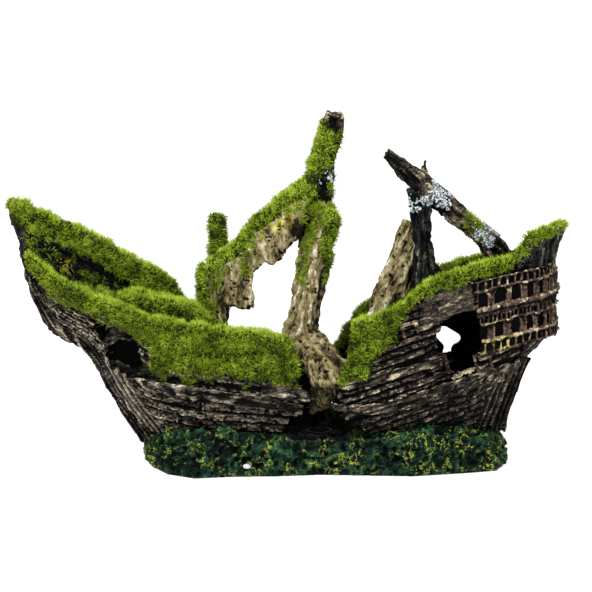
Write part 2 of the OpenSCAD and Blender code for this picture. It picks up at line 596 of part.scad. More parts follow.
module moss_main_sail() {
    color(moss_green) skin([for (s = [[[4, -10, 162], 4], [[4, -11, 156], 7], [[3, -12, 148], 6],
            [[1, -12, 138], 4.5], [[1, -12, 126], 4], [[0, -12, 116], 2]])
        [for (a = [0:45:315]) s[0] + [s[1] * cos(a), 0.6 * s[1] * sin(a), 0]]]);
}
module moss_waist() {
    // broad under the rail, narrow down the broken end
    g = raised(loft(stern_near, 22, 20), gap);
    color(moss_green) for (part = [[0, 6, 0, 5], [0, 4, 4, 9]]) {
        patch = columns(rows(g, part[0], part[1]), part[2], part[3]);
        plate(raised(patch, moss_depth), patch);
    }
}
module moss_stern_near_rail() {
    color(moss_green) rail_moss(stern_near, 22, 0, 20, -1, 5);
}
module moss_stern_far_rail() {
    color(moss_green) rail_moss(stern_far, 22, 0, 20, 1, 6);
}
module moss_taffrail() {
    plan = [[117, -37, 139], [127, -34, 148], [138, -25, 152], [146, -12, 152], [148.5, -2, 152]];
    color(moss_green) skin([for (i = [0:8]) let (p = curve(plan, i / 8), r = i % 8 == 0 ? 2.5 : 4)
        [for (a = [0:45:315]) p + [-0.5 * r, r * cos(a), r * sin(a)]]]);
}

// ---- Lichen ----
module lichen_crutch() {
    color(lichen_grey) coat(yard_line, yard_r, 14, 216, 324, lichen_depth, 4, 6);
}
module lichen_yard() {
    color(lichen_grey) coat(yard_line, yard_r, 14, 180, 288, lichen_depth, 10, 12);
}

reef_base();
reef_heap_bow();
reef_heap_middle();
reef_heap_stern();
inlet_nipple();
inlet_grommet();
airline_tube();
elbow_fitting();
stone_cup();
air_stone();
air_stone_stem();
bow_hull_near();
bow_hull_far();
bow_stem_post();
prow_timber();
bow_deck();
bow_wale_near();
bow_wale_far();
bow_plank_end();
bow_cave_lining();
fore_stump();
fore_spar();
fore_topmast();
fore_leg();
left_sail();
hanging_sail();
main_sail();
sail_root();
aft_mast();
aft_yard();
aft_sail();
stern_hull_near();
stern_hull_far();
stern_transom();
stern_post();
stern_deck();
stern_wale_upper();
stern_wale_lower();
stern_wale_far();
gallery_arcade();
gallery_ledge();
gallery_windows();
gallery_balustrade();
gallery_pilasters();
gun_port_frames();
taffrail();
moss_bow_near_rail();
moss_bow_far_rail();
moss_bow_drape();
moss_deck_ridge();
moss_stump();
moss_spar();
moss_topmast();
moss_main_sail();
moss_waist();
moss_stern_near_rail();
moss_stern_far_rail();
moss_taffrail();
lichen_crutch();
lichen_yard();
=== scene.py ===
"""Looks of the sunken ship bubbling ornament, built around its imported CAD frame."""
import math

import bpy
import numpy as np
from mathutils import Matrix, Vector
from mathutils.bvhtree import BVHTree


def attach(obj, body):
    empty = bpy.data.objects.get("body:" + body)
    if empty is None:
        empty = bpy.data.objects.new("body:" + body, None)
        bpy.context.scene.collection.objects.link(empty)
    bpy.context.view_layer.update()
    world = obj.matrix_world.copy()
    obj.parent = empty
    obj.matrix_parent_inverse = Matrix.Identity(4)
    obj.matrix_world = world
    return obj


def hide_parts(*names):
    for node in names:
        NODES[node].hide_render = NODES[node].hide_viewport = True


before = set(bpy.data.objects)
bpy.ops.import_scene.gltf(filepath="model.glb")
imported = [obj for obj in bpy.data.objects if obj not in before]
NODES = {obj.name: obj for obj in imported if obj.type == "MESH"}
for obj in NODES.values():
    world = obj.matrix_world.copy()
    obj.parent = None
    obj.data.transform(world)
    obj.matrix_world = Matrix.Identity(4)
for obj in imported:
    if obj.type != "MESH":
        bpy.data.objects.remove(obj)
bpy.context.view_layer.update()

MM = 0.001
BODY = "ornament"

# ---------------------------------------------------------------- noise on arrays of points, in mm


def lattice(ix, iy, iz, seed):
    """Random value from 0 to 1 at each whole-number point."""
    n = (ix * 73856093) ^ (iy * 19349663) ^ (iz * 83492791) ^ (seed * 265443576 + 7)
    n = n & 0xFFFFFFFF
    n = ((n ^ (n >> 15)) * 73244475) & 0xFFFFFFFF
    n = ((n ^ (n >> 13)) * 68532937) & 0xFFFFFFFF
    return ((n ^ (n >> 16)) & 0xFFFFFF) / 16777215.0


def value_noise(p, seed):
    """Smooth noise from -1 to 1."""
    base = np.floor(p).astype(np.int64)
    f = p - base
    f = f * f * f * (f * (f * 6 - 15) + 10)
    total = np.zeros(len(p))
    for dx in (0, 1):
        wx = f[:, 0] if dx else 1 - f[:, 0]
        for dy in (0, 1):
            wy = f[:, 1] if dy else 1 - f[:, 1]
            for dz in (0, 1):
                wz = f[:, 2] if dz else 1 - f[:, 2]
                total += wx * wy * wz * lattice(base[:, 0] + dx, base[:, 1] + dy, base[:, 2] + dz, seed)
    return total * 2 - 1


def fractal(p, size, octaves=3, seed=0, along=None, stretch=1.0):
    """Octaves of noise with lumps of about size, from -1 to 1, drawn out along one direction."""
    q = p / size
    if along is not None:
        d = np.array(along, dtype=float)
        d /= np.linalg.norm(d)
        q = q - (1 - 1 / stretch) * (q @ d)[:, None] * d
    total = np.zeros(len(p))
    weight = 1.0
    whole = 0.0
    for i in range(octaves):
        total += weight * value_noise(q * 2 ** i + 17.3 * i, seed + i)
        whole += weight
        weight *= 0.55
    return total / whole * 1.5


def creases(p, size, seed=0, along=None, stretch=1.0):
    """1 on thin wandering lines, falling to 0 between them."""
    return np.clip(1 - 2.2 * np.abs(fractal(p, size, 2, seed, along, stretch)), 0, 1)


def cells(p, size, seed=0):
    """Distance to the nearest scattered point, in units of size."""
    q = p / size
    base = np.floor(q).astype(np.int64)
    near = np.full(len(p), 9.0)
    for dx in (-1, 0, 1):
        for dy in (-1, 0, 1):
            for dz in (-1, 0, 1):
                c = base + (dx, dy, dz)
                point = np.stack([lattice(*c.T, seed + k) for k in range(3)], 1) + c
                near = np.minimum(near, np.linalg.norm(q - point, axis=1))
    return near


def smooth(x, a, b):
    """0 below a, 1 above b, smooth between."""
    t = np.clip((x - a) / (b - a), 0, 1)
    return t * t * (3 - 2 * t)


def between(x, a, b, c, d):
    """Rises from 0 at a to 1 at b, and falls back from c to d."""
    return smooth(x, a, b) * smooth(-x, -d, -c)


def bell(x, width):
    """1 where x is 0, falling away on both sides."""
    return np.exp(-(x / width) ** 2)


def mixed(a, b, share):
    return a * (1 - share) + b * share


def ball(p, centre, radius):
    """1 at the centre of a soft ball, 0 outside it."""
    return smooth(-np.linalg.norm(p - np.array(centre), axis=1), -radius, -0.4 * radius)


def strip(p, start, end, half_width):
    """1 along the middle of a strip between two X-Z points, 0 outside it."""
    a, b = np.array(start, dtype=float), np.array(end, dtype=float)
    q = p[:, (0, 2)]
    t = np.clip((q - a) @ (b - a) / ((b - a) @ (b - a)), 0, 1)
    d = np.linalg.norm(q - a - t[:, None] * (b - a), axis=1)
    return smooth(-d, -half_width, -0.6 * half_width)


def torn(p, amount, seed):
    """Splits a soft mask into all or nothing along a ragged edge."""
    return smooth(amount + 0.3 * fractal(p, 4, 2, seed), 0.3, 0.6)


def line_at(x, points):
    """Height at x of the line through points."""
    return np.interp(x, *zip(*points))


def painted_light_and_shade(n, above, below, edge):
    """Painted light and shade: paler where a surface faces up, and darker where it faces down past an edge."""
    return above * np.clip(n[:, 2], 0, 1) - below * np.clip(-n[:, 2] - edge, 0, 1)


# ---------------------------------------------------------------- meshes


def read(items, attribute, width=3, kind=np.float64):
    """One attribute of a mesh's vertices, edges or faces, a row for each."""
    values = np.empty(len(items) * width, dtype=kind)
    items.foreach_get(attribute, values)
    return values.reshape(-1, width)


def write(items, attribute, values, kind=np.float64):
    items.foreach_set(attribute, np.ascontiguousarray(values, dtype=kind).ravel())


def points_of(mesh):
    return read(mesh.vertices, "co")


def set_points(mesh, co):
    write(mesh.vertices, "co", co)
    mesh.update()


def new_object(name, mesh, *materials):
    obj = bpy.data.objects.new(name, mesh)
    bpy.context.scene.collection.objects.link(obj)
    for made in materials:
        mesh.materials.append(made)
    return obj


def triangles(name, verts, faces, material_index=None):
    """Mesh from an array of points in metres and an array of triangles."""
    mesh = bpy.data.meshes.new(name)
    mesh.vertices.add(len(verts))
    write(mesh.vertices, "co", verts)
    mesh.loops.add(len(faces) * 3)
    write(mesh.loops, "vertex_index", faces, np.int32)
    mesh.polygons.add(len(faces))
    write(mesh.polygons, "loop_start", np.arange(len(faces)) * 3, np.int32)
    if material_index is not None:
        write(mesh.polygons, "material_index", material_index, np.int32)
    mesh.update(calc_edges=True)
    return mesh


def joined(meshes):
    """One array of points and one of triangles from several meshes."""
    verts, faces, start = [], [], 0
    for mesh in meshes:
        mesh.calc_loop_triangles()
        verts.append(points_of(mesh))
        faces.append(read(mesh.loop_triangles, "vertices", 3, np.int32) + start)
        start += len(verts[-1])
    return np.concatenate(verts), np.concatenate(faces)


def remeshed(name, meshes, voxel_mm):
    """One even, closed mesh over the union of several closed meshes."""
    verts, faces = joined(meshes)
    rough = new_object(name + "_rough", triangles(name + "_rough", verts, faces))
    modifier = rough.modifiers.new("even", "REMESH")
    modifier.mode = "VOXEL"
    modifier.voxel_size = voxel_mm * MM
    modifier.adaptivity = 0
    graph = bpy.context.evaluated_depsgraph_get()
    mesh = bpy.data.meshes.new_from_object(rough.evaluated_get(graph))
    mesh.name = name
    bpy.data.objects.remove(rough)
    return mesh


def relax(mesh, rounds, share=0.5):
    """Evens out the steps that a voxel grid leaves."""
    a, b = read(mesh.edges, "vertices", 2, np.int32).T
    co = points_of(mesh)
    count = np.bincount(a, minlength=len(co)) + np.bincount(b, minlength=len(co))
    for _ in range(rounds):
        mean = np.stack([np.bincount(a, co[b, k], len(co)) + np.bincount(b, co[a, k], len(co))
                         for k in range(3)], 1) / np.maximum(count, 1)[:, None]
        co = co + share * (mean - co)
    set_points(mesh, co)


def store(mesh, name, values):
    attribute = mesh.attributes.new(name, "FLOAT", "POINT")
    write(attribute.data, "value", np.clip(values, 0, 1), np.float32)


def sculpted(name, nodes, voxel_mm, shape, paint, relax_rounds=3, bend=None):
    """A carved piece that stands for CAD nodes.

    bend(p) moves the points of the plain shape. shape(p, n) takes points in mm and normals, and gives
    how far each point then moves out, its relief (0 deep, 1 proud), which in places also holds painted light
    and shade, and, if wanted, a mask from 0 to 1 that marks stains on some pieces and painted shade on others.
    """
    mesh = remeshed(name, [NODES[n].data for n in nodes], voxel_mm)
    relax(mesh, relax_rounds)
    if bend:
        set_points(mesh, bend(points_of(mesh) / MM) * MM)
    co = points_of(mesh) / MM
    no = read(mesh.vertex_normals, "vector")
    depth, relief, *stain_and_shade = shape(co, no)
    set_points(mesh, (co + no * depth[:, None]) * MM)
    store(mesh, "relief", relief)
    store(mesh, "stain_and_shade", stain_and_shade[0] if stain_and_shade else np.zeros(len(co)))
    mesh.shade_smooth()
    piece = new_object(name, mesh, paint)
    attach(piece, BODY)
    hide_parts(*nodes)
    return piece


# ---------------------------------------------------------------- materials

CARVED_ROUGHNESS = 0.62
BLOTCH_MM = 14    # size of the broad blotches in every carved material


def srgb(r, g, b):
    """Linear colour from 0 to 255 display values."""
    return tuple((c / 255 / 12.92) if c <= 10 else ((c / 255 + 0.055) / 1.055) ** 2.4 for c in (r, g, b))


def material(name, roughness=0.6, color=(0.5, 0.5, 0.5), specular=0.3):
    made = bpy.data.materials.new(name)
    made.use_nodes = True
    shader = made.node_tree.nodes["Principled BSDF"]
    shader.inputs["Base Color"].default_value = (*color, 1)
    shader.inputs["Roughness"].default_value = roughness
    shader.inputs["Specular IOR Level"].default_value = specular
    return made


def shades(name, roughness, *colors):
    return [material("%s_%d" % (name, i), roughness, srgb(*c), 0.1) for i, c in enumerate(colors)]


def node(tree, kind, **settings):
    made = tree.nodes.new(kind)
    for key, value in settings.items():
        setattr(made, key, value)
    return made


class Level:
    """A shader number that varies over a surface, so that a node tree reads as a sum."""

    def __init__(self, tree, socket):
        self.tree = tree
        self.socket = socket

    def combined(self, operation, a, b=0.0):
        made = node(self.tree, "ShaderNodeMath", operation=operation)
        for socket, value in zip(made.inputs, (a, b)):
            if isinstance(value, Level):
                self.tree.links.new(value.socket, socket)
            else:
                socket.default_value = value
        return Level(self.tree, made.outputs[0])

    def __add__(self, other):
        return self.combined("ADD", self, other)

    def __sub__(self, other):
        return self.combined("SUBTRACT", self, other)

    def __rsub__(self, other):
        return self.combined("SUBTRACT", other, self)

    def __mul__(self, other):
        return self.combined("MULTIPLY", self, other)

    def __abs__(self):
        return self.combined("ABSOLUTE", self)

    def larger(self, other):
        return self.combined("MAXIMUM", self, other)

    def clamped(self):
        """The same number, kept from 0 to 1."""
        self.socket.node.use_clamp = True
        return self


def stored(tree, name):
    return Level(tree, node(tree, "ShaderNodeAttribute", attribute_name=name).outputs["Fac"])


def noise(tree, size_mm, detail=4.0, turn=(0, 0, 0), stretch=(1, 1, 1), roughness=0.6):
    """Noise in the object's own space, with lumps of about size_mm."""
    vector = node(tree, "ShaderNodeTexCoord").outputs["Object"]
    if any(turn):
        spin = node(tree, "ShaderNodeVectorRotate", rotation_type="EULER_XYZ")
        spin.inputs["Rotation"].default_value = turn
        tree.links.new(vector, spin.inputs["Vector"])
        vector = spin.outputs[0]
    scale = node(tree, "ShaderNodeMapping")
    scale.inputs["Scale"].default_value = [1 / (size_mm * MM * s) for s in stretch]
    tree.links.new(vector, scale.inputs["Vector"])
    made = node(tree, "ShaderNodeTexNoise")
    made.inputs["Scale"].default_value = 1
    made.inputs["Detail"].default_value = detail
    made.inputs["Roughness"].default_value = roughness
    tree.links.new(scale.outputs[0], made.inputs["Vector"])
    return Level(tree, made.outputs["Fac"])


def ramp(stops, level):
    """Colour socket that follows a level through stops of position and display colour."""
    made = node(level.tree, "ShaderNodeValToRGB")
    elements = made.color_ramp.elements
    elements[0].position = stops[0][0]
    elements[1].position = stops[-1][0]
    for position, _ in stops[1:-1]:
        elements.new(position)
    for element, (_, color) in zip(elements, stops):
        element.color = (*srgb(*color), 1)
    level.tree.links.new(level.socket, made.inputs["Fac"])
    return made.outputs["Color"]


def painted_over(tree, amount, under, over):
    """Colour socket that goes from one colour socket to another, or to a display colour, by a level."""
    mix = node(tree, "ShaderNodeMix", data_type="RGBA")
    tree.links.new(amount.socket, mix.inputs[0])
    tree.links.new(under, mix.inputs[6])
    if isinstance(over, tuple):
        mix.inputs[7].default_value = (*srgb(*over), 1)
    else:
        tree.links.new(over, mix.inputs[7])
    return mix.outputs[2]


def bumped(tree, height, strength, distance_mm):
    """Gives a material's shader a fine relief."""
    bump = node(tree, "ShaderNodeBump")
    bump.inputs["Strength"].default_value = strength
    bump.inputs["Distance"].default_value = distance_mm * MM
    tree.links.new(height.socket, bump.inputs["Height"])
    tree.links.new(bump.outputs["Normal"], tree.nodes["Principled BSDF"].inputs["Normal"])


def carved_material(name, stops, grain_mm=1.2, stretch=(1, 1, 1), turn=(0, 0, 0), grain=0.35, stain_and_shade=None,
                    worn=0.0):
    """Paint that follows the carved relief: dark in the grooves, dry-brushed on what stands proud."""
    made = material(name, CARVED_ROUGHNESS, specular=0.07)
    tree = made.node_tree
    shader = tree.nodes["Principled BSDF"]
    relief = stored(tree, "relief")
    fine = noise(tree, grain_mm, 5, turn, stretch, 0.72)
    level = relief + (fine - 0.5) * (2 * grain) + (noise(tree, BLOTCH_MM, 3) - 0.5) * 0.24
    if worn:
        # Hairline cracks, worm holes, and pale flecks where the relief stands proud
        cracks = (1.0 - abs(noise(tree, 4 * grain_mm, 3, turn, stretch) - 0.5) * 22.0).clamped()
        holes = ((noise(tree, 1.8 * grain_mm, 2) - 0.57) * 9.0).clamped()
        flecks = ((fine - 0.56) * 7.0).clamped() * relief
        level = level + (flecks - cracks.larger(holes)) * worn
    level = level.clamped()
    color = ramp(stops, level)
    # A second ramp, mixed in by a stored mask: stains and gold on some pieces, painted shade on inner faces, in
    # holes and on the cave floor on others
    if stain_and_shade:
        color = painted_over(tree, stored(tree, "stain_and_shade"), color, ramp(stain_and_shade, level))
    tree.links.new(color, shader.inputs["Base Color"])
    bumped(tree, fine, 0.8, 0.3)
    rough = node(tree, "ShaderNodeMapRange")
    rough.inputs["To Min"].default_value = CARVED_ROUGHNESS + 0.15
    rough.inputs["To Max"].default_value = CARVED_ROUGHNESS - 0.12
    tree.links.new(level.socket, rough.inputs["Value"])
    tree.links.new(rough.outputs[0], shader.inputs["Roughness"])
    return made


SHEER = math.radians(20)    # rise of the stern's planks
# Colours of painted shade on the hull's inner faces and in holes; the grey ledge under the bow cave takes their
# pale end as its own colour
SHADOW = [(0.2, (4, 4, 5)), (0.6, (13, 14, 16)), (1.0, (48, 53, 60))]
HULL = carved_material("bow_planks", [(0.16, (4, 4, 4)), (0.36, (39, 35, 31)), (0.54, (86, 80, 69)),
                                      (0.74, (120, 112, 97)), (0.97, (206, 196, 172))],
                       0.8, (3.5, 1.5, 1), (0, math.radians(8), 0), 0.45, SHADOW, 0.34)
STERN = carved_material("stern_planks", [(0.18, (4, 4, 4)), (0.40, (29, 26, 23)), (0.60, (58, 52, 45)),
                                         (0.80, (96, 86, 72)), (1.0, (190, 176, 146))],
                        0.8, (3.5, 1.5, 1), (0, SHEER, 0), 0.45, SHADOW, 0.36)
GALLERY = carved_material("gallery_resin", [(0.14, (3, 2, 2)), (0.34, (34, 27, 24)), (0.58, (80, 64, 55)),
                                            (0.80, (126, 110, 90)), (1.0, (220, 206, 168))],
                          0.8, grain=0.4, worn=0.16,
                          stain_and_shade=[(0.15, (8, 6, 4)), (0.45, (74, 64, 36)), (1.0, (206, 190, 122))])
CHARCOAL = carved_material("charred_timber", [(0.18, (3, 3, 4)), (0.45, (20, 21, 23)), (0.68, (44, 43, 42)),
                                              (0.86, (88, 84, 72)), (1.0, (150, 140, 110))],
                           0.9, (1, 1, 3), grain=0.45, worn=0.25)
DRIFTWOOD = carved_material("driftwood", [(0.18, (5, 4, 4)), (0.40, (28, 25, 22)), (0.60, (60, 54, 44)),
                                          (0.80, (108, 98, 78)), (1.0, (190, 178, 146))],
                            0.9, (1, 1, 3), (0, math.radians(-48), 0), 0.45, worn=0.34)
SAIL = carved_material("sail_khaki", [(0.08, (18, 16, 11)), (0.26, (78, 69, 46)), (0.50, (132, 120, 82)),
                                      (0.72, (164, 152, 118)), (0.92, (216, 209, 190)), (1.0, (242, 238, 226))],
                       0.9, (1, 1, 2.5), grain=0.4, worn=0.2,
                       stain_and_shade=[(0.1, (90, 84, 10)), (0.5, (180, 174, 40)), (1.0, (226, 222, 120))])
LICHEN = carved_material("lichen_crust", [(0.1, (44, 48, 50)), (0.5, (116, 123, 127)), (0.9, (188, 198, 202))],
                         1.0)
# Colours of the moss mat, kept dark as painted shade under the fibres
SHADED_MOSS_MAT = carved_material("moss_mat", [(0.1, (14, 18, 5)), (0.6, (46, 60, 14)), (1.0, (82, 100, 26))])


def reef_material():
    """Dark green rubble with thin yellow-green lines brushed on its crests, and near-black painted shade on the
    cave floor.
    """
    made = carved_material("reef_rubble", [(0.10, (2, 6, 5)), (0.40, (9, 26, 18)), (0.62, (22, 52, 34)),
                                           (0.85, (48, 84, 52)), (1.0, (96, 124, 70))],
                           1.1, grain=0.4, worn=0.22, stain_and_shade=[(0.2, (2, 3, 3)), (1.0, (8, 12, 10))])
    tree = made.node_tree
    base_color = tree.nodes["Principled BSDF"].inputs["Base Color"]
    line = (1.0 - abs(noise(tree, 4.2, 2, roughness=0.5) - 0.5) * 34.0).clamped()
    patch = ((noise(tree, 11, 2) - 0.46) * 9.0).clamped()
    crest = ((stored(tree, "relief") - 0.30) * 4.0).clamped()
    # No lines in the painted shade of the cave floor
    bare = 1.0 - stored(tree, "stain_and_shade")
    under = base_color.links[0].from_socket
    tree.links.new(painted_over(tree, line * patch * (crest * bare), under, (178, 184, 62)), base_color)
    return made


REEF = reef_material()
# Greens from dark to pale, one picked for each fibre by a level that holds painted light and shade
GREENS = shades("moss", 0.75, (34, 42, 9), (72, 86, 19), (106, 124, 27), (134, 157, 34), (152, 177, 42),
                (180, 200, 74))
YELLOWS = shades("yellow_moss", 0.75, (132, 136, 34), (176, 172, 50), (208, 200, 92))
FLAKES = shades("lichen", 0.8, (70, 76, 80), (116, 124, 128), (162, 172, 176), (212, 220, 224))

# ---------------------------------------------------------------- hull

BOARD_MM = 40.0    # length of a plank between its butts

# Foot of the bow's planks, as X and Z in mm, and the two posts, as Z and X
BOW_FOOT = ((-182, 113), (-167, 86), (-149, 76), (-139, 62), (-130, 45), (-112, 20), (-80, 14), (12, 10))
BOW_POST = ((14, -108), (20, -112), (45, -130), (62, -139), (76, -149), (86, -167), (113, -182))
STERN_POST = ((20, 107), (30, 110), (44, 115), (58, 120), (68, 124))

# Each side of the hull: its planks' top and foot lines, its post, the way along X from the post to the break,
# the way along Y that the side faces, its rows of planks and its seed
SIDES = {
    "bow_near": (((-187, 132), (-166, 117), (-136, 107), (-104, 96), (-47, 89), (-4, 78), (12, 74)), BOW_FOOT,
                 BOW_POST, 1, -1, 12, 11),
    "bow_far": (((-196, 164), (-166, 149), (-129, 126), (-94, 103), (-84, 82), (-26, 66), (2, 58)), BOW_FOOT,
                BOW_POST, 1, 1, 12, 31),
    "stern_near": (((4, 90), (126, 136)), ((4, -10), (126, 34)), STERN_POST, -1, -1, 21, 51),
    "stern_far": (((4, 88), (126, 134)), ((4, -10), (126, 34)), STERN_POST, -1, 1, 21, 71),
}


def plank_rows(p, side):
    """Which plank each point is on, how far across it, and the plank's width."""
    top_line, foot_line, *_, rows, seed = SIDES[side]
    top = line_at(p[:, 0], top_line)
    height = np.maximum(top - line_at(p[:, 0], foot_line), 8.0)
    wander = 0.09 * fractal(p, 30, 2, seed + 1) + 0.035 * fractal(p, 5, 2, seed + 2)
    q = (top - p[:, 2]) / height * rows + wander
    row = np.floor(q)
    return row.astype(np.int64), q - row, height / rows


def plank_relief(p, side, seed):
    """Depth and relief of worm-eaten planking at points p on one side of the hull."""
    x, y, _ = p.T
    row, f, width = plank_rows(p, side)
    seam = np.minimum(f, 1 - f) * width
    along = (x + lattice(row, row * 3 + 1, 0, seed + 3) * BOARD_MM + 0.25 * y) / BOARD_MM
    butt = np.abs(along - np.round(along)) * BOARD_MM
    proud = lattice(row, np.floor(along).astype(np.int64), 0, seed + 4) - 0.5
    flat = np.stack([x / 6.5, (row + f) * width / 1.5, y / 6.5 + row * 3.7], 1)
    grain = fractal(flat, 1.0, 3, seed + 5)
    splits = np.clip(1 - 3.2 * np.abs(value_noise(flat * (0.8, 0.75, 1) + 31, seed + 6)), 0, 1)
    chips = smooth(fractal(p, 4.2, 3, seed + 7, (1, 0, 0), 1.7), 0.2, 0.4)
    pits = smooth(fractal(p, 1.9, 2, seed + 8), 0.4, 0.65)
    rise = smooth(fractal(p, 2.6, 2, seed + 10, (1, 0, 0), 3.0), 0.3, 0.7)
    crackle = np.clip(1 - 7 * np.abs(fractal(p, 5.5, 2, seed + 12)), 0, 1)
    groove = np.clip(bell(seam, 0.66) * (1.0 + 0.4 * fractal(p, 8, 2, seed + 9)), 0, 1.25)
    joint = bell(butt, 0.6) * 0.8
    lip = bell((1 - f) * width, 1.5) * (1 - np.clip(groove, 0, 1))
    depth = (0.9 * proud + 0.4 * grain - 1.5 * groove - 1.1 * joint - 0.6 * splits - 0.7 * chips - 0.9 * pits
             + 0.3 * rise + 0.4 * lip - 0.5 * crackle)
    relief = (0.64 + 0.20 * proud + 0.20 * grain - 0.85 * groove - 0.45 * joint - 0.30 * splits - 0.12 * chips
              - 0.45 * pits + 0.18 * rise + 0.24 * lip - 0.34 * crackle)
    return depth, relief


def hull_shape(side):
    """Planks, with ribs that run down along the post, painted light and shade by which way they face, and
    painted shade on the inner face.
    """
    _, _, post, inward, toward, _, seed = SIDES[side]

    def shape(p, n):
        depth, relief = plank_relief(p, side, seed)
        reach = (p[:, 0] - line_at(p[:, 2], post)) * inward
        near = smooth(-reach, -15, -12) * smooth(-p[:, 2], -66, -60)
        ribs = np.cos(reach * 2 * math.pi / 4.0 + 0.9 * fractal(p, 14, 2, seed + 40))
        rough = fractal(p, 2.5, 3, seed + 41, (0, 0, 1), 4)
        depth = mixed(depth, 0.7 * ribs + 0.35 * rough, near)
        # Painted light and shade: paler facing up, darker facing down
        relief = mixed(relief, 0.42 + 0.24 * ribs + 0.2 * rough, near) + painted_light_and_shade(n, 0.16, 0.3, 0.35)
        # Painted shade: the inner face is marked for the shade colours
        inside = smooth(-n[:, 1] * toward, -0.1, 0.35)
        return depth * (1 - 0.4 * inside) + 0.3 * fractal(p, 5, 2, seed + 20), relief, inside
    return shape


def hull_side(side, voxel_mm, shape, paint, x_end, reach, depth):
    """One side of the hull, its planks broken off at uneven lengths near x_end."""
    inward, _, _, seed = SIDES[side][3:]

    def broken(p):
        row, _, _ = plank_rows(p, side)
        cut = lattice(row, row * 5 + 2, 0, seed + 60) + 0.35 * fractal(p, 4, 2, seed + 61)
        amount = smooth(inward * (p[:, 0] - x_end), -reach, 0)
        moved = p.copy()
        moved[:, 0] -= inward * amount * np.clip(cut, 0, 1.2) * depth
        return moved
    return sculpted(side + "_planking", [side.replace("_", "_hull_")], voxel_mm, shape, paint, bend=broken)


def bow_near_shape(p, n):
    """Planks with a groove over the wale, painted dark as the shade under the moss, paler towards the bow."""
    x, _, z = p.T
    depth, relief, inside = hull_shape("bow_near")(p, n)
    line = z - line_at(x, ((-118, 63), (-75, 59), (-47, 56), (-14, 52))) + 0.8 * fractal(p, 8, 2, 13)
    # Painted shade: a dark band under the hanging moss, along a real groove
    gap = bell(line, 1.7) * smooth(x, -118, -110)
    pale = 0.06 + 0.15 * smooth(-x - 0.4 * z, 80, 105)
    return depth - 1.2 * gap, relief - 0.6 * gap + pale, inside


bow_near = hull_side("bow_near", 0.6, bow_near_shape, HULL, -6, 22, 7)
bow_far = hull_side("bow_far", 0.85, hull_shape("bow_far"), HULL, 2, 14, 3)

# Mouldings on the stern's near side: one under the galleries and one over each wale. Each is a line through
# two X-Z points, with where along X it starts and ends.
MOULDINGS = (((84, 70), (126, 82), 92, 126), ((16, 58), (66, 82), 12, 62), ((10, 35), (67, 60), 8, 66),
             ((67, 60), (122, 75), 68, 122))


def stern_near_shape(p, n):
    """Planks, smooth and weathered between the cave and the moss, with a groove under each moulding painted
    dark as shade.
    """
    x, _, z = p.T
    depth, relief, inside = hull_shape("stern_near")(p, n)
    side = between(x, 56, 62, 90, 94) * smooth(z - 0.3 * x, 76, 80)
    grain = fractal(p, 2.2, 3, 57, (1, 0, 0.3), 6)
    depth = mixed(depth, 0.5 * grain, side)
    relief = mixed(relief, 0.64 + 0.25 * grain, side) + 0.03
    for (x_a, z_a), (x_b, z_b), x_from, x_to in MOULDINGS:
        line = z - z_a - (z_b - z_a) / (x_b - x_a) * (x - x_a) + 0.9 * fractal(p, 9, 2, 59)
        reach = between(x, x_from, x_from + 4, x_to - 4, x_to)
        band = reach * np.exp(-(line / 1.3) ** 4)
        # Painted shade in the groove under the moulding
        shade = reach * bell(line + 3.0, 1.3)
        depth = depth + 1.3 * band - 1.4 * shade
        relief = relief + 0.38 * band - 0.8 * shade
    return depth, relief, inside


def stern_far_shape(p, n):
    """Planking left smooth at the edge of the opening seen through the cave."""
    depth, relief, inside = hull_shape("stern_far")(p, n)
    return depth * (1 - strip(p, (78, 74), (78, 62), 18)), relief, inside


hull_side("stern_near", 0.6, stern_near_shape, STERN, 10, 20, 6)
hull_side("stern_far", 0.7, stern_far_shape, STERN, 4, 12, 2)


def counter_shape(p, n):
    """Ribs that fan out under the stern, with painted shade on their inner faces."""
    x, y, _ = p.T
    ribs = np.cos(np.arctan2(y, x - 105) * 26)
    grain = fractal(p, 3, 3, 91, (0, 0, 1), 3)
    # Painted shade: inner faces are marked for the shade colours
    inside = smooth(-(n[:, 0] * (x - 105) + n[:, 1] * y), 0, 6)
    return 0.5 * grain + 0.4 * ribs, 0.42 + 0.3 * grain + 0.2 * ribs, inside


sculpted("stern_counter", ["stern_transom"], 0.8, counter_shape, STERN)


def timber_shape(seed, along=(1, 0, 0), strength=1.0, size=2.2, level=0.52):
    """Rotten timber, with its grain along one direction, and painted light and shade: paler facing up, darker
    facing down.
    """
    def shape(p, n):
        grain = fractal(p, size, 3, seed, along, 5)
        lumps = fractal(p, 7, 2, seed + 3)
        crack = creases(p, size * 2.2, seed + 5, along, 5)
        knots = smooth(fractal(p, 3.5, 2, seed + 7), 0.5, 0.9)
        depth = strength * (0.45 * grain + 0.5 * lumps - 0.85 * crack - 0.6 * knots)
        relief = level + 0.30 * grain + 0.12 * lumps - 0.42 * crack - 0.3 * knots
        return depth, relief + painted_light_and_shade(n, 0.14, 0.3, 0.3)
    return shape


def stem_shape(post, along):
    """Dark ribs that run down a stem."""
    def shape(p, n):
        ribs = np.cos((p[:, 0] - line_at(p[:, 2], post)) * 2 * math.pi / 2.9 + 0.9 * fractal(p, 14, 2, 111))
        grain = fractal(p, 2.6, 3, 113, along, 4)
        chips = smooth(fractal(p, 4, 2, 115), 0.3, 0.7)
        brushed = ball(p, (-160, -4, 79), 15) * smooth(grain, -0.2, 0.3)
        relief = 0.40 + 0.26 * grain + 0.20 * ribs - 0.2 * chips + 0.4 * brushed
        return 0.45 * grain + 0.5 * ribs - 0.7 * chips, relief
    return shape


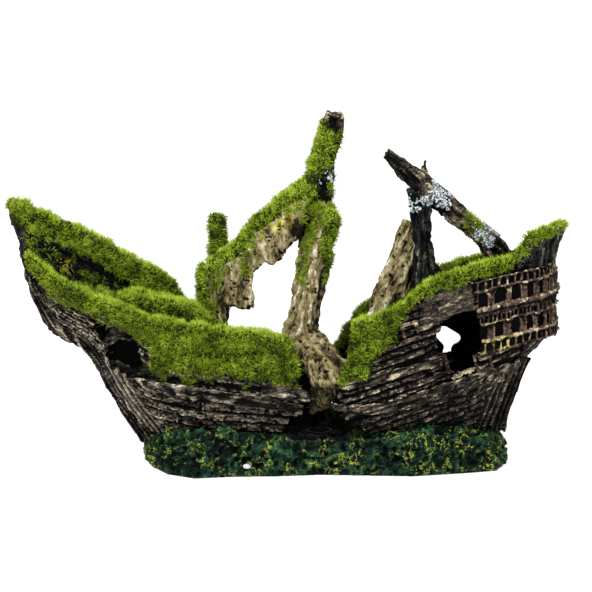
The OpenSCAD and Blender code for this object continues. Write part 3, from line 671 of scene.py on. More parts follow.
BOW_GRAIN = (1, 0, -0.15)
STERN_GRAIN = (1, 0, 0.36)
sculpted("bow_wale_side", ["bow_wale_near", "bow_plank_end"], 0.5, timber_shape(101, BOW_GRAIN, 0.9, 1.8, 0.68),
         HULL, 2)
sculpted("bow_wale_back", ["bow_wale_far"], 0.7, timber_shape(103, BOW_GRAIN, 0.8), HULL, 2)
sculpted("stern_wales", ["stern_wale_upper", "stern_wale_lower"], 0.5,
         timber_shape(105, STERN_GRAIN, 0.9, 1.8, 0.78), STERN, 2)
sculpted("stern_wale_back", ["stern_wale_far"], 0.7, timber_shape(107, STERN_GRAIN, 0.8), STERN, 2)
sculpted("bow_stem", ["bow_stem_post"], 0.6, stem_shape(BOW_POST, (-0.6, 0, 0.8)), HULL, 2)
sculpted("stern_stem", ["stern_post"], 0.6, stem_shape(STERN_POST, (0.33, 0, 0.94)), STERN, 2)
prow = sculpted("prow_snag", ["prow_timber"], 0.5, timber_shape(121, (0, 0, 1), 1.2), CHARCOAL, 2)
bow_deck = sculpted("bow_deck_boards", ["bow_deck"], 0.9, timber_shape(123, strength=1.4), CHARCOAL)
sculpted("stern_deck_boards", ["stern_deck"], 0.9, timber_shape(125, strength=0.8), CHARCOAL)


def lining_shape(p, n):
    """Plank behind the bow cave, rotted through in the middle, with painted shade in the hole, over a grey
    ledge.
    """
    x, _, z = p.T
    depth, relief = timber_shape(127, (1, 0, 0.2), 0.8, 2.2, 0.66)(p, n)
    away = np.hypot((x + 123) / 10.5, (z - 71.5) / 8.5) + 0.25 * fractal(p, 5, 3, 128)
    hole = smooth(-away, -1.05, -0.9)
    ledge = smooth(-z, -65, -63)
    # Painted shade: the hole goes to the darkest shade colour; the ledge takes the grey end of those colours as
    # its own colour
    relief = relief * (1 - hole) + 0.14 * ledge
    return depth * (1 - hole) - 2.2 * hole + ledge, relief, np.maximum(hole, 0.7 * ledge)


sculpted("cave_lining", ["bow_cave_lining"], 0.6, lining_shape, HULL)

# ---------------------------------------------------------------- galleries

# Plan of the galleries' outer face round the stern, with the rise of their floors, in mm
PLAN = ((84, -45.5, -8), (104, -43, -4), (125, -37.5, 0), (137.5, -24, 0.5), (143.5, -2, 0.5), (141, 21, 0),
        (128, 34.5, -1))


def smooth_line(points, count):
    """Points on a smooth curve through others."""
    p = np.array(points, dtype=float)
    t = np.linspace(0, len(p) - 1.0001, count)
    i = t.astype(int)
    f = (t - i)[:, None]
    a, b, c, d = (p[np.clip(i + k, 0, len(p) - 1)] for k in (-1, 0, 1, 2))
    return 0.5 * (2 * b + (c - a) * f + (2 * a - 5 * b + 4 * c - d) * f ** 2 + (3 * b - a - 3 * c + d) * f ** 3)


plan = smooth_line(PLAN, 500)
plan_length = np.cumsum(np.r_[0, np.linalg.norm(np.diff(plan[:, :2], axis=0), axis=1)])
plan_way = np.gradient(plan[:, :2], axis=0)
plan_out = np.stack([plan_way[:, 1], -plan_way[:, 0]], 1)
plan_out /= np.linalg.norm(plan_out, axis=1)[:, None]


def along_plan(p):
    """Distance along the galleries, height over their floor, outward direction, and bay between pilasters."""
    at_once = 20000
    nearest = np.empty(len(p), dtype=int)
    for start in range(0, len(p), at_once):
        x, y, _ = p[start:start + at_once].T
        away = (x[:, None] - plan[None, :, 0]) ** 2 + (y[:, None] - plan[None, :, 1]) ** 2
        nearest[start:start + at_once] = np.argmin(away, axis=1)
    return plan_length[nearest], p[:, 2] - plan[nearest, 2], plan_out[nearest], nearest * 13 / len(plan)


def arches(s, z, pitch, width, foot, head, seed, square=False):
    """How much each point is inside an arched opening, and how near an arch's rim."""
    index = np.floor(s / pitch).astype(np.int64)
    half = width / 2 * (1 + 0.3 * (lattice(index, 0, 0, seed) - 0.5))
    u = s - (index + 0.5 + 0.12 * (lattice(index, 0, 1, seed) - 0.5)) * pitch
    head = head + 0.9 * (lattice(index, 2, 0, seed) - 0.5)
    beside = np.maximum(np.abs(u) - half, foot - z)
    if square:
        d = np.maximum(beside, z - head)
    else:
        d = np.where(z > head - half, np.hypot(u, z - head + half) - half, beside)
    return smooth(-d, -0.15, 0.3), bell(d - 0.75, 0.55)


# Rows of openings: pitch, width, foot, head, seed, and whether they are square. The large ones keep to
# the bays.
BAY_MM = 8.4
SMALL = ((4.6, 3.0, 123.4, 128.4, 135), (2.7, 1.7, 102.4, 106.0, 137, True), (4.7, 3.2, 84.8, 89.9, 139))
LARGE = ((BAY_MM, 4.9, 112.8, 121.6, 136), (BAY_MM, 4.4, 91.8, 100.6, 138))
# Height and half width of each sill
SILLS = ((129.8, 0.7), (122.6, 0.5), (111.2, 1.2), (101.5, 0.6), (90.9, 0.8), (84.2, 0.5))


def gallery_shape(p, n):
    """Rows of arches between worn cream sills, with gold on the lowest row's near corner; painted shade in the
    openings, under the sills and under a beam.
    """
    s, z, out, bay = along_plan(p)
    facing = smooth(n[:, 0] * out[:, 0] + n[:, 1] * out[:, 1], 0.1, 0.5)
    lean = 0.6 * fractal(p, 5, 2, 133)
    z = z + 0.9 * fractal(p, 7, 3, 134)
    opening = np.zeros(len(p))
    rim = np.zeros(len(p))
    for rows, place in ((SMALL, s + lean), (LARGE, bay * BAY_MM + lean)):
        for row in rows:
            inside, edge = arches(place, z, *row)
            opening = np.maximum(opening, inside)
            rim = np.maximum(rim, edge * (1 - inside))
    broken = smooth(fractal(p, 5, 2, 145), 0.0, 0.5)
    sills = np.clip(sum(bell(z - level, width) for level, width in SILLS), 0, 1) * (1 - opening)
    sills = sills * (1 - 0.9 * broken)
    # Painted shade under each sill, and a painted beam shadow
    shade = np.clip(sum(bell(z - level + width + 1.0, 0.8) for level, width in SILLS), 0, 1)
    beam_shadow = smooth(s, 50, 56) * between(z, 106.4, 107.2, 109, 110)
    rough = fractal(p, 1.8, 3, 140)
    chips = smooth(fractal(p, 4, 2, 143), 0.3, 0.6)
    cream = smooth(fractal(p, 2.6, 2, 141), 0.1, 0.5)
    depth = facing * (0.5 * rim + 0.9 * sills - 1.3 * opening - 0.5 * shade)
    depth = depth + (0.4 * rough - 0.7 * chips) * (1 - opening)
    # Painted shade: openings go dark whichever way they face; painted light and shade by which way the wall
    # faces
    relief = (0.54 + 0.18 * rough - opening + facing * (0.10 * rim + 0.10 * sills - 0.28 * shade - 0.4 * beam_shadow)
              + 0.34 * cream * np.maximum(rim, sills) - 0.16 * chips + painted_light_and_shade(n, 0.14, 0.35, 0))
    golden = between(s, 0, 4, 29, 34) * smooth(-z, -91, -90.4)
    return depth, relief, golden


def broken_galleries(p):
    """Bend that breaks the galleries off unevenly where they end over the stern cave."""
    reach = smooth(-p[:, 0], -98, -86) * (p[:, 1] < 0)
    back = line_at(p[:, 2], ((72, 5), (76, 6), (84, 8), (96, 7), (99, 4), (104, 4), (113, 6), (117, 0)))
    moved = p.copy()
    moved[:, 0] += reach * (back + 1.6 * fractal(p * (0, 1, 1), 3.5, 3, 147))
    return moved


sculpted("galleries", ["gallery_arcade", "gallery_ledge", "gallery_windows", "gallery_balustrade",
                       "gallery_pilasters"], 0.45, gallery_shape, GALLERY, 1, broken_galleries)
sculpted("port_frames", ["gun_port_frames"], 0.35, timber_shape(129, (1, 0, 0.3), 0.3, 1.6, 0.66), GALLERY, 1)


def taffrail_shape(p, _):
    """Scalloped crest: grey-brown folds with worn pits."""
    folds = fractal(p, 4.5, 2, 151, (0, 0, 1), 2.5)
    pits = smooth(fractal(p, 3.0, 2, 153), 0.35, 0.7)
    rough = fractal(p, 1.6, 2, 155)
    return 1.1 * folds + 0.3 * rough - 1.0 * pits, 0.60 + 0.3 * folds + 0.2 * rough - 0.4 * pits


taffrail = sculpted("broken_taffrail", ["taffrail"], 0.5, taffrail_shape, CHARCOAL, 2)

# ---------------------------------------------------------------- masts, spars and sails

# Gap where the topmast stands on the spar, painted black as shade, as two X-Z points and its half width
SHADED_MAST_GAP = ((-3, 178), (-1, 168), 3.6)


def topmast_shape(p, n):
    """Driftwood with a hollow at its head painted dark as shade, paler towards its head, and painted shade in
    the gap where it stands on the spar.
    """
    depth, relief = timber_shape(145, (0.25, 0, 1), 1.3)(p, n)
    hollow = strip(p, (3, 213), (5, 219), 3.3) * smooth(-n[:, 1], 0, 0.4)
    # Painted shade in the hollow and in the gap at the spar
    relief = relief + 0.2 * smooth(p[:, 2], 206, 214) - 0.8 * hollow - 0.7 * strip(p, *SHADED_MAST_GAP)
    return depth - 2.4 * hollow, relief


def bark_shape(seed, along, level):
    """Rotten timber with loose bark."""
    def shape(p, n):
        depth, relief = timber_shape(seed, along, 1.5, 2.0, level)(p, n)
        bark = fractal(p, 4.2, 3, seed + 20, along, 1.8)
        return depth + 1.3 * bark, relief + 0.22 * bark
    return shape


def yard_shape(p, n):
    """Loose bark, with the twig swollen."""
    depth, relief = bark_shape(151, (0.75, 0, -0.66), 0.57)(p, n)
    return depth + 1.3 * ball(p, (61, -12, 193), 9), relief


stump = sculpted("stump", ["fore_stump"], 0.55, timber_shape(141, (0, 0, 1), 1.4), CHARCOAL, 2)
sculpted("spar", ["fore_spar"], 0.55, timber_shape(143, (0.8, 0, 0.6), 1.2), CHARCOAL, 2)
topmast = sculpted("topmast", ["fore_topmast"], 0.5, topmast_shape, DRIFTWOOD, 2)
leg = sculpted("leg", ["fore_leg"], 0.5, timber_shape(147, (0, 0, 1), 1.2, 2.0, 0.6), SAIL, 2)
aft_mast = sculpted("aft_mast_bark", ["aft_mast"], 0.5, bark_shape(149, (0, 0, 1), 0.56), CHARCOAL, 2)
aft_yard = sculpted("aft_yard_bark", ["aft_yard"], 0.5, yard_shape, DRIFTWOOD, 2)


def sail_shape(seed, along):
    """Stiff rag: folds that run down it, worm holes, a crust that catches the brush, strands of yellow, and
    painted shade.
    """
    def shape(p, n):
        fold = fractal(p, 4.5, 3, seed, along, 4)
        holes = smooth(fractal(p, 2.2, 2, seed + 3), 0.62, 0.85)
        crust = fractal(p, 1.7, 2, seed + 5, along, 2)
        bright = creases(p, 9, seed + 7, along, 3.5) ** 2
        # Painted shade: darker where the rag faces down or sideways, and down a narrow strip near x -2
        under = (np.clip(-n[:, 2] - 0.2, 0, 1) + 0.8 * np.clip(np.abs(n[:, 0]) - 0.55, 0, 1)
                 + 0.5 * strip(p, (-2, 116), (-3, 86), 4))
        # Painted shade in the gap between the hanging rag and the main sail
        gap = ball(p, (-14, -8, 152), 12) + 0.8 * strip(p, (-10, 158), (-21, 132), 3)
        depth = 1.2 * fold + 0.3 * crust - 1.3 * holes + 0.5 * bright
        relief = 0.50 + 0.28 * fold + 0.22 * crust - 0.7 * holes + 0.2 * bright - 0.5 * under - 0.5 * gap
        strands = (strip(p, (-22, 162), (-23, 151), 2.2) + 0.8 * strip(p, (-24, 158), (-32, 149), 2)
                   + 0.6 * strip(p, (-35, 155), (-40, 144), 2))
        return depth, relief, strands * smooth(fractal(p, 3, 2, seed + 9, along, 3), -0.4, 0.3)
    return shape


def root_shape(p, n):
    """Heap of sail that turns to dark wood at its foot."""
    depth, relief, stain_and_shade = sail_shape(167, (0.5, 0, -1))(p, n)
    dark = smooth(-p[:, 2], -60, -54)
    return depth, (relief - 0.07) * (1 - dark) + dark * (0.16 + 0.3 * (relief - 0.5)), stain_and_shade


def rag(name, cad_node, shape, seed, tear_mm, size=6.0):
    """Thin stiff piece with edges torn in its own plane."""
    def torn_edges(p):
        moved = p.copy()
        moved[:, 0] += tear_mm * fractal(p, size, 3, seed)
        moved[:, 2] += tear_mm * fractal(p, size, 3, seed + 10)
        return moved
    return sculpted(name, [cad_node], 0.55, shape, SAIL, 3, torn_edges)


left_sail = rag("left_sail_rag", "left_sail", sail_shape(161, (0.1, 0, 1)), 181, 1.6)
hanging_sail = rag("hanging_sail_rag", "hanging_sail", sail_shape(163, (-0.2, 0, 1)), 183, 1.8)
main_sail = rag("main_sail_rag", "main_sail", sail_shape(165, (0.28, 0, 1)), 185, 1.0)
rag("aft_sail_rag", "aft_sail", sail_shape(169, (0.45, 0, 1)), 189, 1.2)
rag("sail_heap", "sail_root", root_shape, 187, 1.6, 8)

# ---------------------------------------------------------------- reef base

# Places of the air stone and of the airline's axis, in mm
STONE_X, STONE_Y = -4, -6
AIRLINE_Z = 8


def reef_shape(p, _):
    """Crumpled rubble, left plain at the underside, round the air inlet and in the cup's recess, with painted
    shade on the cave floor between the halves.
    """
    x, y, z = p.T
    port = smooth(np.hypot(x - STONE_X, z - AIRLINE_Z) + 40 * (y < 38), 6.5, 10)
    cup = smooth(np.hypot(x - STONE_X, y - STONE_Y), 9.5, 13)
    keep = port * cup * smooth(z, 0.3, 2.5)
    broad = fractal(p, 15, 2, 183)
    big = creases(p, 9, 185)
    small = creases(p, 3.4, 187)
    pits = smooth(fractal(p, 2.8, 2, 189), 0.15, 0.6)
    depth = (1.7 * broad + 2.2 * big + 1.1 * small - 1.5 * pits) * keep
    relief = 0.36 + 0.08 * broad + 0.20 * big + 0.34 * small - 0.45 * pits
    # Oval plate of coral, seen nearly edge on along the base's top
    away = np.hypot((x - 59) / 13, (z + 0.19 * y - 12.4) / 3.6)
    oval = smooth(-away, -1, -0.85) * smooth(-y, 20, 24) * keep
    ribs = np.cos(x * 2 * math.pi / 2.8)
    depth = depth * (1 - 0.8 * oval) + oval * (1.2 + 0.3 * ribs)
    relief = relief * (1 - 0.8 * oval) + oval * (0.40 + 0.22 * ribs)
    # Painted shade: the floor of the cave between the halves is marked near black
    cave = between(x, -40, -30, 10, 20) * between(y, -40, -32, 20, 30) * smooth(z, 12, 16)
    return depth, relief, cave


sculpted("reef", ["reef_base", "reef_heap_bow", "reef_heap_middle", "reef_heap_stern"], 0.8, reef_shape, REEF)

bpy.ops.mesh.primitive_ico_sphere_add(subdivisions=3, radius=1)
pebble = bpy.context.object
pebble.name = "pale_pebble"
round_points = points_of(pebble.data)
uneven = (1 + 0.12 * fractal(round_points, 0.6, 2, 5))[:, None]
set_points(pebble.data, (round_points * (2.4, 1.6, 1.5) * uneven + (-49, -48.5, 7.5)) * MM)
pebble.data.materials.append(material("pale_stone", 0.6, srgb(196, 206, 214), 0.2))
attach(pebble, BODY)

# ---------------------------------------------------------------- small solids that stand on a surface


def unit(v):
    return v / np.maximum(np.linalg.norm(v, axis=1), 1e-9)[:, None]


def roots(mesh, per_mm2, rng, mask=None):
    """Random points on a mesh, in mm, with the normals there."""
    verts, faces = joined([mesh])
    a, b, c = (verts[faces[:, k]] / MM for k in range(3))
    cross = np.cross(b - a, c - a)
    area = np.linalg.norm(cross, axis=1) / 2
    normal = unit(cross)
    share = area if mask is None else area * np.clip(mask((a + b + c) / 3, normal), 0, 1)
    count = int(share.sum() * per_mm2)
    pick = rng.choice(len(faces), count, p=share / share.sum())
    u, v = rng.random(count), rng.random(count)
    over = u + v > 1
    u[over], v[over] = 1 - u[over], 1 - v[over]
    return a[pick] + u[:, None] * (b - a)[pick] + v[:, None] * (c - a)[pick], normal[pick]


def square_to(lean, rng):
    """Two directions square to each lean and to each other, turned at random."""
    side = unit(np.cross(lean, rng.normal(size=lean.shape)))
    return side, np.cross(lean, side)


def turned(side, other, k, sides):
    """The k-th of several directions spaced round a lean."""
    angle = 2 * math.pi * k / sides
    return math.cos(angle) * side + math.sin(angle) * other


def standing(name, corners, faces, colors, level):
    """One piece of many small solids: points at each corner, faces of one solid, each one's colour level."""
    points = np.stack(corners, 1)
    tris = np.arange(len(points))[:, None, None] * len(corners) + np.array(faces)[None]
    index = np.clip(np.floor(level * len(colors)), 0, len(colors) - 1).astype(np.int32)
    made = triangles(name, points.reshape(-1, 3) * MM, tris.reshape(-1, 3), np.repeat(index, len(faces)))
    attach(new_object(name, made, *colors), BODY)


# ---------------------------------------------------------------- moss

FIBRE_MM = 0.62    # thickness of a fibre at its foot
CLEAR_MM = 1.0     # least distance from the wreck at a low point of a fibre

# Everything under the moss, to keep fibres from growing into it
bare_verts, bare_faces = joined([NODES[n].data for n in NODES if not n.startswith(("moss", "lichen"))])
bare_tree = BVHTree.FromPolygons([Vector(v) for v in bare_verts], [tuple(map(int, f)) for f in bare_faces])


def free_of_wreck(points):
    return np.array([bare_tree.find_nearest(Vector(q * MM))[3] > CLEAR_MM * MM for q in points], dtype=bool)


def cushions(p):
    """Cushions of moss, from about -1 between them to 1 on their tops."""
    return 1.3 * (0.52 - cells(p, 6.5, 7)) + 0.6 * (0.52 - cells(p, 3.1, 8))


def fibres(name, mesh, per_mm2, length_mm, seed, mask=None, tone=0.0, on_wreck=True, colors=GREENS):
    """Flock: thin closed spikes that stand on a mesh."""
    rng = np.random.default_rng(seed)
    root, up = roots(mesh, per_mm2, rng, mask)
    full = smooth(cushions(root) + 0.5 * fractal(root, 5, 2, 11), -0.6, 0.2)
    thick = rng.random(len(root)) < 0.35 + 0.65 * full
    root, up = root[thick], up[thick]
    if not on_wreck:
        free = free_of_wreck(root + 1.6 * up)
        root, up = root[free], up[free]
    count = len(root)
    clump = np.stack([fractal(root, 3.0, 2, seed + k) for k in range(3)], 1)
    lean = unit(up + 0.40 * rng.normal(size=(count, 3)) + 1.15 * clump + (0, 0, 0.1))
    lean = np.where((np.einsum("ij,ij->i", lean, up) < 0.2)[:, None], up, lean)
    size = length_mm * (0.7 + 0.7 * rng.random(count)) * (1 + 0.3 * fractal(root, 6, 2, seed + 7))
    side, other = square_to(lean, rng)
    half = FIBRE_MM / 2 * (0.7 + 0.6 * rng.random(count))
    foot = [root - 0.3 * up + half[:, None] * turned(side, other, k, 3) for k in range(3)]
    # Painted light and shade: fibres on cushion tops and facing up are paler, between cushions darker; tone
    # moves a whole piece
    level = (0.48 + 0.34 * cushions(root) + 0.16 * fractal(root, 14, 2, 9) + 0.16 * up[:, 2]
             + 0.17 * rng.normal(size=count) + tone)
    faces = ((0, 1, 3), (1, 2, 3), (2, 0, 3), (0, 2, 1))
    standing(name, foot + [root + size[:, None] * lean], faces, colors, level)


def moss_shape(p, _):
    lumps = cushions(p)
    # Painted light and shade: the mat is paler on the cushions and darker between them
    return -1.3 + 1.7 * lumps + 0.9 * fractal(p, 11, 2, 203), 0.4 + 0.4 * lumps


# Ragged lower edges of the moss on the near sides, as X and Z in mm
DRAPE_EDGE = ((-122, 84), (-115, 78), (-110, 66), (-103, 58), (-94, 56), (-84, 60), (-75, 64), (-57, 63),
              (-40, 61), (-28, 60), (-19, 62), (-13, 68), (-8, 84))
WAIST_EDGE = ((0, 46), (9, 50), (18, 55), (27, 65), (31, 76), (37, 80), (44, 84), (51, 92), (58, 100),
              (64, 105))


def drips(p, reach_mm, size, octaves, seed):
    """Uneven lengths that hang down."""
    return reach_mm * fractal(p, size, octaves, seed, (0, 0, 1), 2.5)


def above_edge(edge, seed):
    def keep(p, n=None):
        return smooth(p[:, 2] - line_at(p[:, 0], edge) - drips(p, 11, 6, 3, seed), -0.6, 0.6)
    return keep


def sunk_outside(keep):
    """Bend that drops the moss into the hull or the mast wherever it isn't kept."""
    def bend(p):
        moved = p.copy()
        sunk = 1 - keep(p)
        moved[:, 1] += 4.8 * sunk * smooth(-p[:, 2], -200, -190)
        at_mast = sunk * smooth(p[:, 2], 200, 204)
        moved[:, :2] += 0.8 * at_mast[:, None] * ((5.5, 0) - p[:, :2])
        return moved
    return bend


def off_masthead(p, n=None):
    """Leaves bare the masthead's hollow, and the gap and the lichen where the topmast stands on the spar."""
    bare = strip(p, (4, 213), (10, 222), 5.2) + strip(p, *SHADED_MAST_GAP) + ball(p, (0.5, -9, 182), 6.5)
    return 1 - torn(p, bare, 227)


def off_snag(p, n=None):
    """Leaves the broken side of the prow bare."""
    return 1 - torn(p, strip(p, (-198, 157), (-189, 144), 5), 228)


KEEPS = {"moss_bow_drape": above_edge(DRAPE_EDGE, 221), "moss_waist": above_edge(WAIST_EDGE, 225),
         "moss_topmast": off_masthead}
TONES = {"moss_stump": 0.12, "moss_topmast": 0.08, "moss_spar": 0.08, "moss_bow_far_rail": 0.06}
for i, name in enumerate(n for n in NODES if n.startswith("moss")):
    keep = KEEPS.get(name)
    mat = sculpted(name + "_mat", [name], 0.8, moss_shape, SHADED_MOSS_MAT, bend=sunk_outside(keep) if keep else None)
    fibres(name + "_fibres", mat.data, 2.6, 3.0, 300 + i, off_snag if name == "moss_bow_far_rail" else keep,
           TONES.get(name, 0.0), False)


def bow_side_mask(p, n):
    """Moss that hangs below the bow's near rail."""
    hang = line_at(p[:, 0], ((-187, 6), (-170, 13), (-150, 17), (-130, 17), (-112, 14), (-106, 30), (-100, 36),
                             (-84, 35), (-74, 29), (-50, 30), (0, 28)))
    below_top = line_at(p[:, 0], SIDES["bow_near"][0]) - p[:, 2]
    return smooth(hang + drips(p, 11, 6, 3, 231) - 1 - below_top, -1, 1) * smooth(-n[:, 1], -0.3, 0.1)


def bow_inside_mask(p, n):
    """Moss on the inner face of the bow's far side, left bare in hollows and under the rail, where the hull's
    painted shade shows.
    """
    hollows = smooth(fractal(p, 11, 3, 235, (1, 0, -0.6), 1.8), -0.02, 0.12)
    under_rail = (strip(p, (-173, 141), (-162, 133), 5) + strip(p, (-153, 126), (-137, 117), 5.5)
                  + strip(p, (-137, 117), (-120, 104), 4.5))
    bare = np.maximum(hollows, torn(p, under_rail, 239))
    return smooth(-n[:, 1], 0, 0.3) * smooth(-p[:, 0], 84, 90) * (1 - bare)


def deck_mask(p, n):
    return smooth(n[:, 2], 0.2, 0.5) * smooth(-p[:, 0], 30, 45) * smooth(fractal(p, 10, 3, 237), -0.5, -0.2)


def prow_mask(p, n):
    return smooth(p[:, 2], 142, 148) * off_snag(p)


def stump_mask(p, n):
    return smooth(p[:, 2], 92, 96)


def leg_mask(p, n):
    return smooth(p[:, 2], 92, 98) * smooth(-n[:, 0] - 0.3 * n[:, 1], 0.0, 0.5)


def topmast_mask(p, n):
    """Moss on the topmast's near side, and on its left above the spar."""
    part = np.maximum(smooth(-p[:, 2], -176, -172), smooth(-n[:, 0], -0.8, -0.6)) * off_masthead(p)
    return part * smooth(-p[:, 2], -213, -210) * smooth(-n[:, 1], -0.2, 0.3)


def yard_mask(p, n):
    return ball(p, (92, -10, 155), 9) + 0.4 * ball(p, (94, -10, 147), 9)


def crest_mask(p, n):
    crest = line_at(p[:, 0], ((116, 132), (122, 138), (130, 145), (140, 148), (152, 151)))
    return smooth(p[:, 2] - crest, -1.5, 1.5)


def left_sail_mask(p, n):
    """Moss over the left rag's top, running down it in two strands."""
    top = line_at(p[:, 0], ((-70, 118), (-56, 126), (-47, 134)))
    over = smooth(p[:, 2] - top + 3 * fractal(p, 4, 2, 243), -1, 1)
    runs = smooth(strip(p, (-51, 138), (-49, 121), 4) + strip(p, (-68, 122), (-70, 106), 5), 0.2, 0.5)
    return smooth(-n[:, 1], -0.1, 0.3) * np.clip(over + runs, 0, 1)


def hanging_sail_mask(p, n):
    """Moss over the top of the hanging rag, with short drips."""
    line = line_at(p[:, 0], ((-47, 134), (-41, 145), (-30, 157), (-22, 159), (-10, 155)))
    over = smooth(p[:, 2] - line + drips(p, 6, 4.5, 3, 245), -0.8, 0.8)
    return smooth(-n[:, 1] + 0.5 * n[:, 2], -0.1, 0.3) * over


def main_sail_mask(p, n):
    """Strips of moss over the top and down both edges of the main sail."""
    runs = sum(strip(p, *run) for run in (((-4, 167), (0, 157), 9), ((-6, 157), (-12, 137), 4),
                                          ((-12, 137), (-15, 119), 4), ((3, 150), (1, 136), 4),
                                          ((1, 136), (4, 122), 3)))
    return smooth(-n[:, 1] + 0.6 * n[:, 2], 0, 0.3) * smooth(runs + 0.25 * fractal(p, 3, 2, 249), 0.2, 0.45)


# Moss on the timber itself: what it grows on, fibres to the mm2, their length in mm, seed, mask and tone
for name, under, *settings in (("bow_side", bow_near, 2.4, 2.8, 331, bow_side_mask, 0.0),
                               # The inside moss is toned darker as painted shade
                               ("bow_inside", bow_far, 2.4, 2.6, 332, bow_inside_mask, -0.2),
                               ("bow_deck", bow_deck, 2.2, 2.8, 333, deck_mask, -0.1),
                               ("prow", prow, 2.4, 2.6, 334, prow_mask, 0.0),
                               ("stump_top", stump, 2.4, 2.2, 335, stump_mask, -0.1),
                               ("leg", leg, 2.4, 2.4, 336, leg_mask, 0.0),
                               ("topmast_front", topmast, 2.4, 3.0, 337, topmast_mask, 0.0),
                               ("yard", aft_yard, 2.4, 2.6, 338, yard_mask, 0.0),
                               ("crest", taffrail, 2.4, 2.6, 339, crest_mask, 0.08),
                               ("left_sail", left_sail, 2.4, 2.6, 340, left_sail_mask, 0.0),
                               ("hanging_sail", hanging_sail, 2.4, 2.6, 343, hanging_sail_mask, 0.05),
                               ("on_main_sail", main_sail, 3.0, 3.0, 341, main_sail_mask, 0.0)):
    fibres("moss_" + name, under.data, *settings)
for i, (under, centre, radius) in enumerate(((bow_far, (-116, 31, 104), 10), (bow_deck, (-118, 20, 101), 8),
                                             (bow_far, (-165, 8, 122), 6))):
    fibres("yellow_tuft_%d" % i, under.data, 1.6, 3.4, 350 + i,
           lambda p, n, c=centre, r=radius: ball(p, c, r) + 1e-9, colors=YELLOWS)

# ---------------------------------------------------------------- lichen

# Patches of lichen on the yard and its mast, each with its reach in mm
LICHEN_SPOTS = (((54, -12, 165), 8), ((61, -13, 168), 6), ((70, -12, 173), 9), ((73, -12, 167), 6),
                ((97, -12, 148), 8), ((100, -12, 143), 6))


def flakes(name, mesh, per_mm2, size_mm, seed, mask):
    """Crumbled crust: small closed chips that stand on a mesh."""
    rng = np.random.default_rng(seed)
    root, up = roots(mesh, per_mm2, rng, mask)
    count = len(root)
    lean = unit(up + 0.5 * rng.normal(size=(count, 3)))
    side, other = square_to(lean, rng)
    sides = 5
    rim = []
    for k in range(sides):
        reach = (size_mm / 2 * (0.5 + 0.8 * rng.random(count)))[:, None]
        lift = (0.35 + 0.25 * rng.normal(size=count))[:, None]
        rim.append(root + lift * lean + reach * turned(side, other, k, sides))
    top, under = sides, sides + 1
    faces = ([(k, (k + 1) % sides, top) for k in range(sides)]
             + [((k + 1) % sides, k, under) for k in range(sides)])
    standing(name, rim + [root + 1.0 * lean, root - 0.7 * lean], faces, FLAKES, 1.3 * rng.random(count))


def spots(p, n=None):
    """1 on crumbs of lichen, 0 on the bark between them."""
    near = np.clip(sum(ball(p, centre, reach) for centre, reach in LICHEN_SPOTS), 0, 1)
    return smooth(0.8 * near + 1.1 * fractal(p, 3.6, 3, 405), 0.5, 0.7) * smooth(near, 0.02, 0.2)


def masthead_spot(p, n):
    return ball(p, (0.5, -9, 181.5), 8) * smooth(fractal(p, 3, 2, 407), -0.35, -0.1)


def crust_shape(p, _):
    crumbs = fractal(p, 1.6, 2, 403)
    return 0.4 * crumbs - 0.4, 0.5 + 0.4 * crumbs


def crust_bend(p):
    """Sinks the crust into the bark wherever there are no crumbs."""
    moved = p.copy()
    moved[:, 1] += 5.5 * (1 - spots(p))
    return moved


for name in ("lichen_crutch", "lichen_yard"):
    sculpted(name + "_crust", [name], 0.45, crust_shape, LICHEN, 1, crust_bend)
flakes("lichen_on_yard", aft_yard.data, 1.5, 1.7, 411, spots)
flakes("lichen_on_mast", aft_mast.data, 1.5, 1.7, 412, spots)
flakes("lichen_on_topmast", topmast.data, 1.4, 1.6, 413, masthead_spot)

# ---------------------------------------------------------------- air supply


def plain(name, slots, roughness, color, specular):
    """Moulded plastic or rubber with a fine skin texture, set on CAD nodes that are shown as they are."""
    made = material(name, roughness, color, specular)
    bumped(made.node_tree, noise(made.node_tree, 0.5, 3), 0.3, 0.1)
    for slot in slots:
        NODES[slot].data.materials.clear()
        NODES[slot].data.materials.append(made)
    return made.node_tree


plain("moulded_plastic", ["inlet_nipple", "air_stone_stem", "elbow_fitting"], 0.3, (0.5, 0.51, 0.48), 0.5)
plain("cup_plastic", ["stone_cup"], 0.6, (0.004, 0.005, 0.005), 0.15)
plain("grommet_rubber", ["inlet_grommet"], 0.75, (0.015, 0.015, 0.015), 0.2)
plain("airline_silicone", ["airline_tube"], 0.25, (0.55, 0.66, 0.7), 0.5)
grit = plain("grit_stone", ["air_stone"], 0.95, srgb(14, 15, 17), 0.1)
grit.links.new(ramp([(0.3, (4, 4, 5)), (0.6, (14, 15, 17)), (0.8, (34, 37, 41))], noise(grit, 0.7, 4)),
               grit.nodes["Principled BSDF"].inputs["Base Color"])

# ---------------------------------------------------------------- stage, light and camera

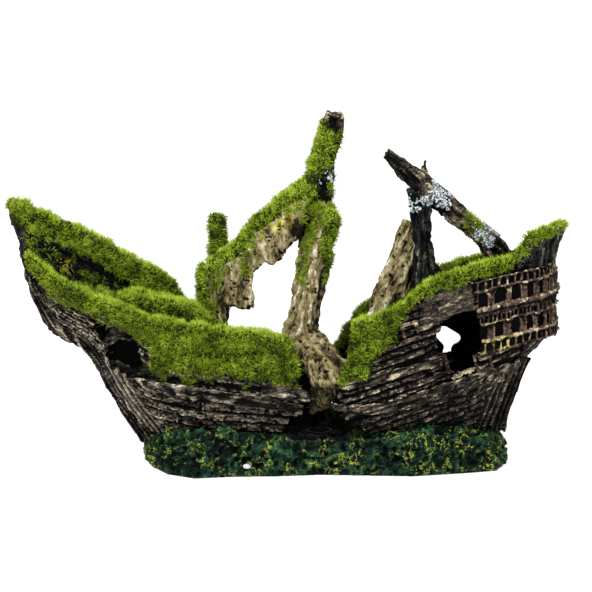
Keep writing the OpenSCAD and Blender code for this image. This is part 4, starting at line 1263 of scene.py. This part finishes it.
FLOOR_REACH = 9
floor_mesh = bpy.data.meshes.new("floor")
floor_corners = [(FLOOR_REACH * x, FLOOR_REACH * y, 0) for x, y in ((-1, -1), (1, -1), (1, 1), (-1, 1))]
floor_mesh.from_pydata(floor_corners, [], [(0, 1, 2, 3)])
floor_white = material("floor_white", 1.0, (0.3, 0.3, 0.3), 0.0)
floor_shader = floor_white.node_tree.nodes["Principled BSDF"]
floor_shader.inputs["Emission Color"].default_value = (1, 1, 1, 1)
floor_shader.inputs["Emission Strength"].default_value = 0.85
new_object("floor", floor_mesh, floor_white)

world = bpy.data.worlds.new("studio")
bpy.context.scene.world = world
world.use_nodes = True
background = world.node_tree.nodes["Background"]
background.inputs["Color"].default_value = (1, 1, 1, 1)
background.inputs["Strength"].default_value = 0.55


def facing(place, target):
    """Turn that points a lamp or a camera from one place at another."""
    return (target - place).to_track_quat("-Z", "Y").to_euler()


def area_light(name, place, size, watts):
    data = bpy.data.lights.new(name, "AREA")
    data.size = size
    data.energy = watts
    lamp = bpy.data.objects.new(name, data)
    lamp.location = place
    lamp.rotation_euler = facing(Vector(place), Vector((0, 0, 0.1)))
    bpy.context.scene.collection.objects.link(lamp)


area_light("key", (-0.6, -1.0, 1.7), 0.8, 38)
area_light("fill", (1.2, -1.2, 0.8), 1.0, 10)
area_light("back", (0.2, 1.3, 1.5), 0.9, 12)

ELEVATION = math.radians(11)
DISTANCE = 2.4
FRAME_WIDTH = 0.3706    # what the camera takes in at the ship
SENSOR_MM = 36
AIM = Vector((-0.0185, 0, 0.1054))
camera_data = bpy.data.cameras.new("camera")
camera_data.sensor_width = SENSOR_MM
camera_data.lens = SENSOR_MM * DISTANCE / FRAME_WIDTH
camera_data.clip_start = 0.05
camera = bpy.data.objects.new("camera", camera_data)
camera.location = AIM + DISTANCE * Vector((0, -math.cos(ELEVATION), math.sin(ELEVATION)))
camera.rotation_euler = facing(camera.location, AIM)
bpy.context.scene.collection.objects.link(camera)
bpy.context.scene.camera = camera
bpy.context.scene.view_settings.view_transform = "Standard"
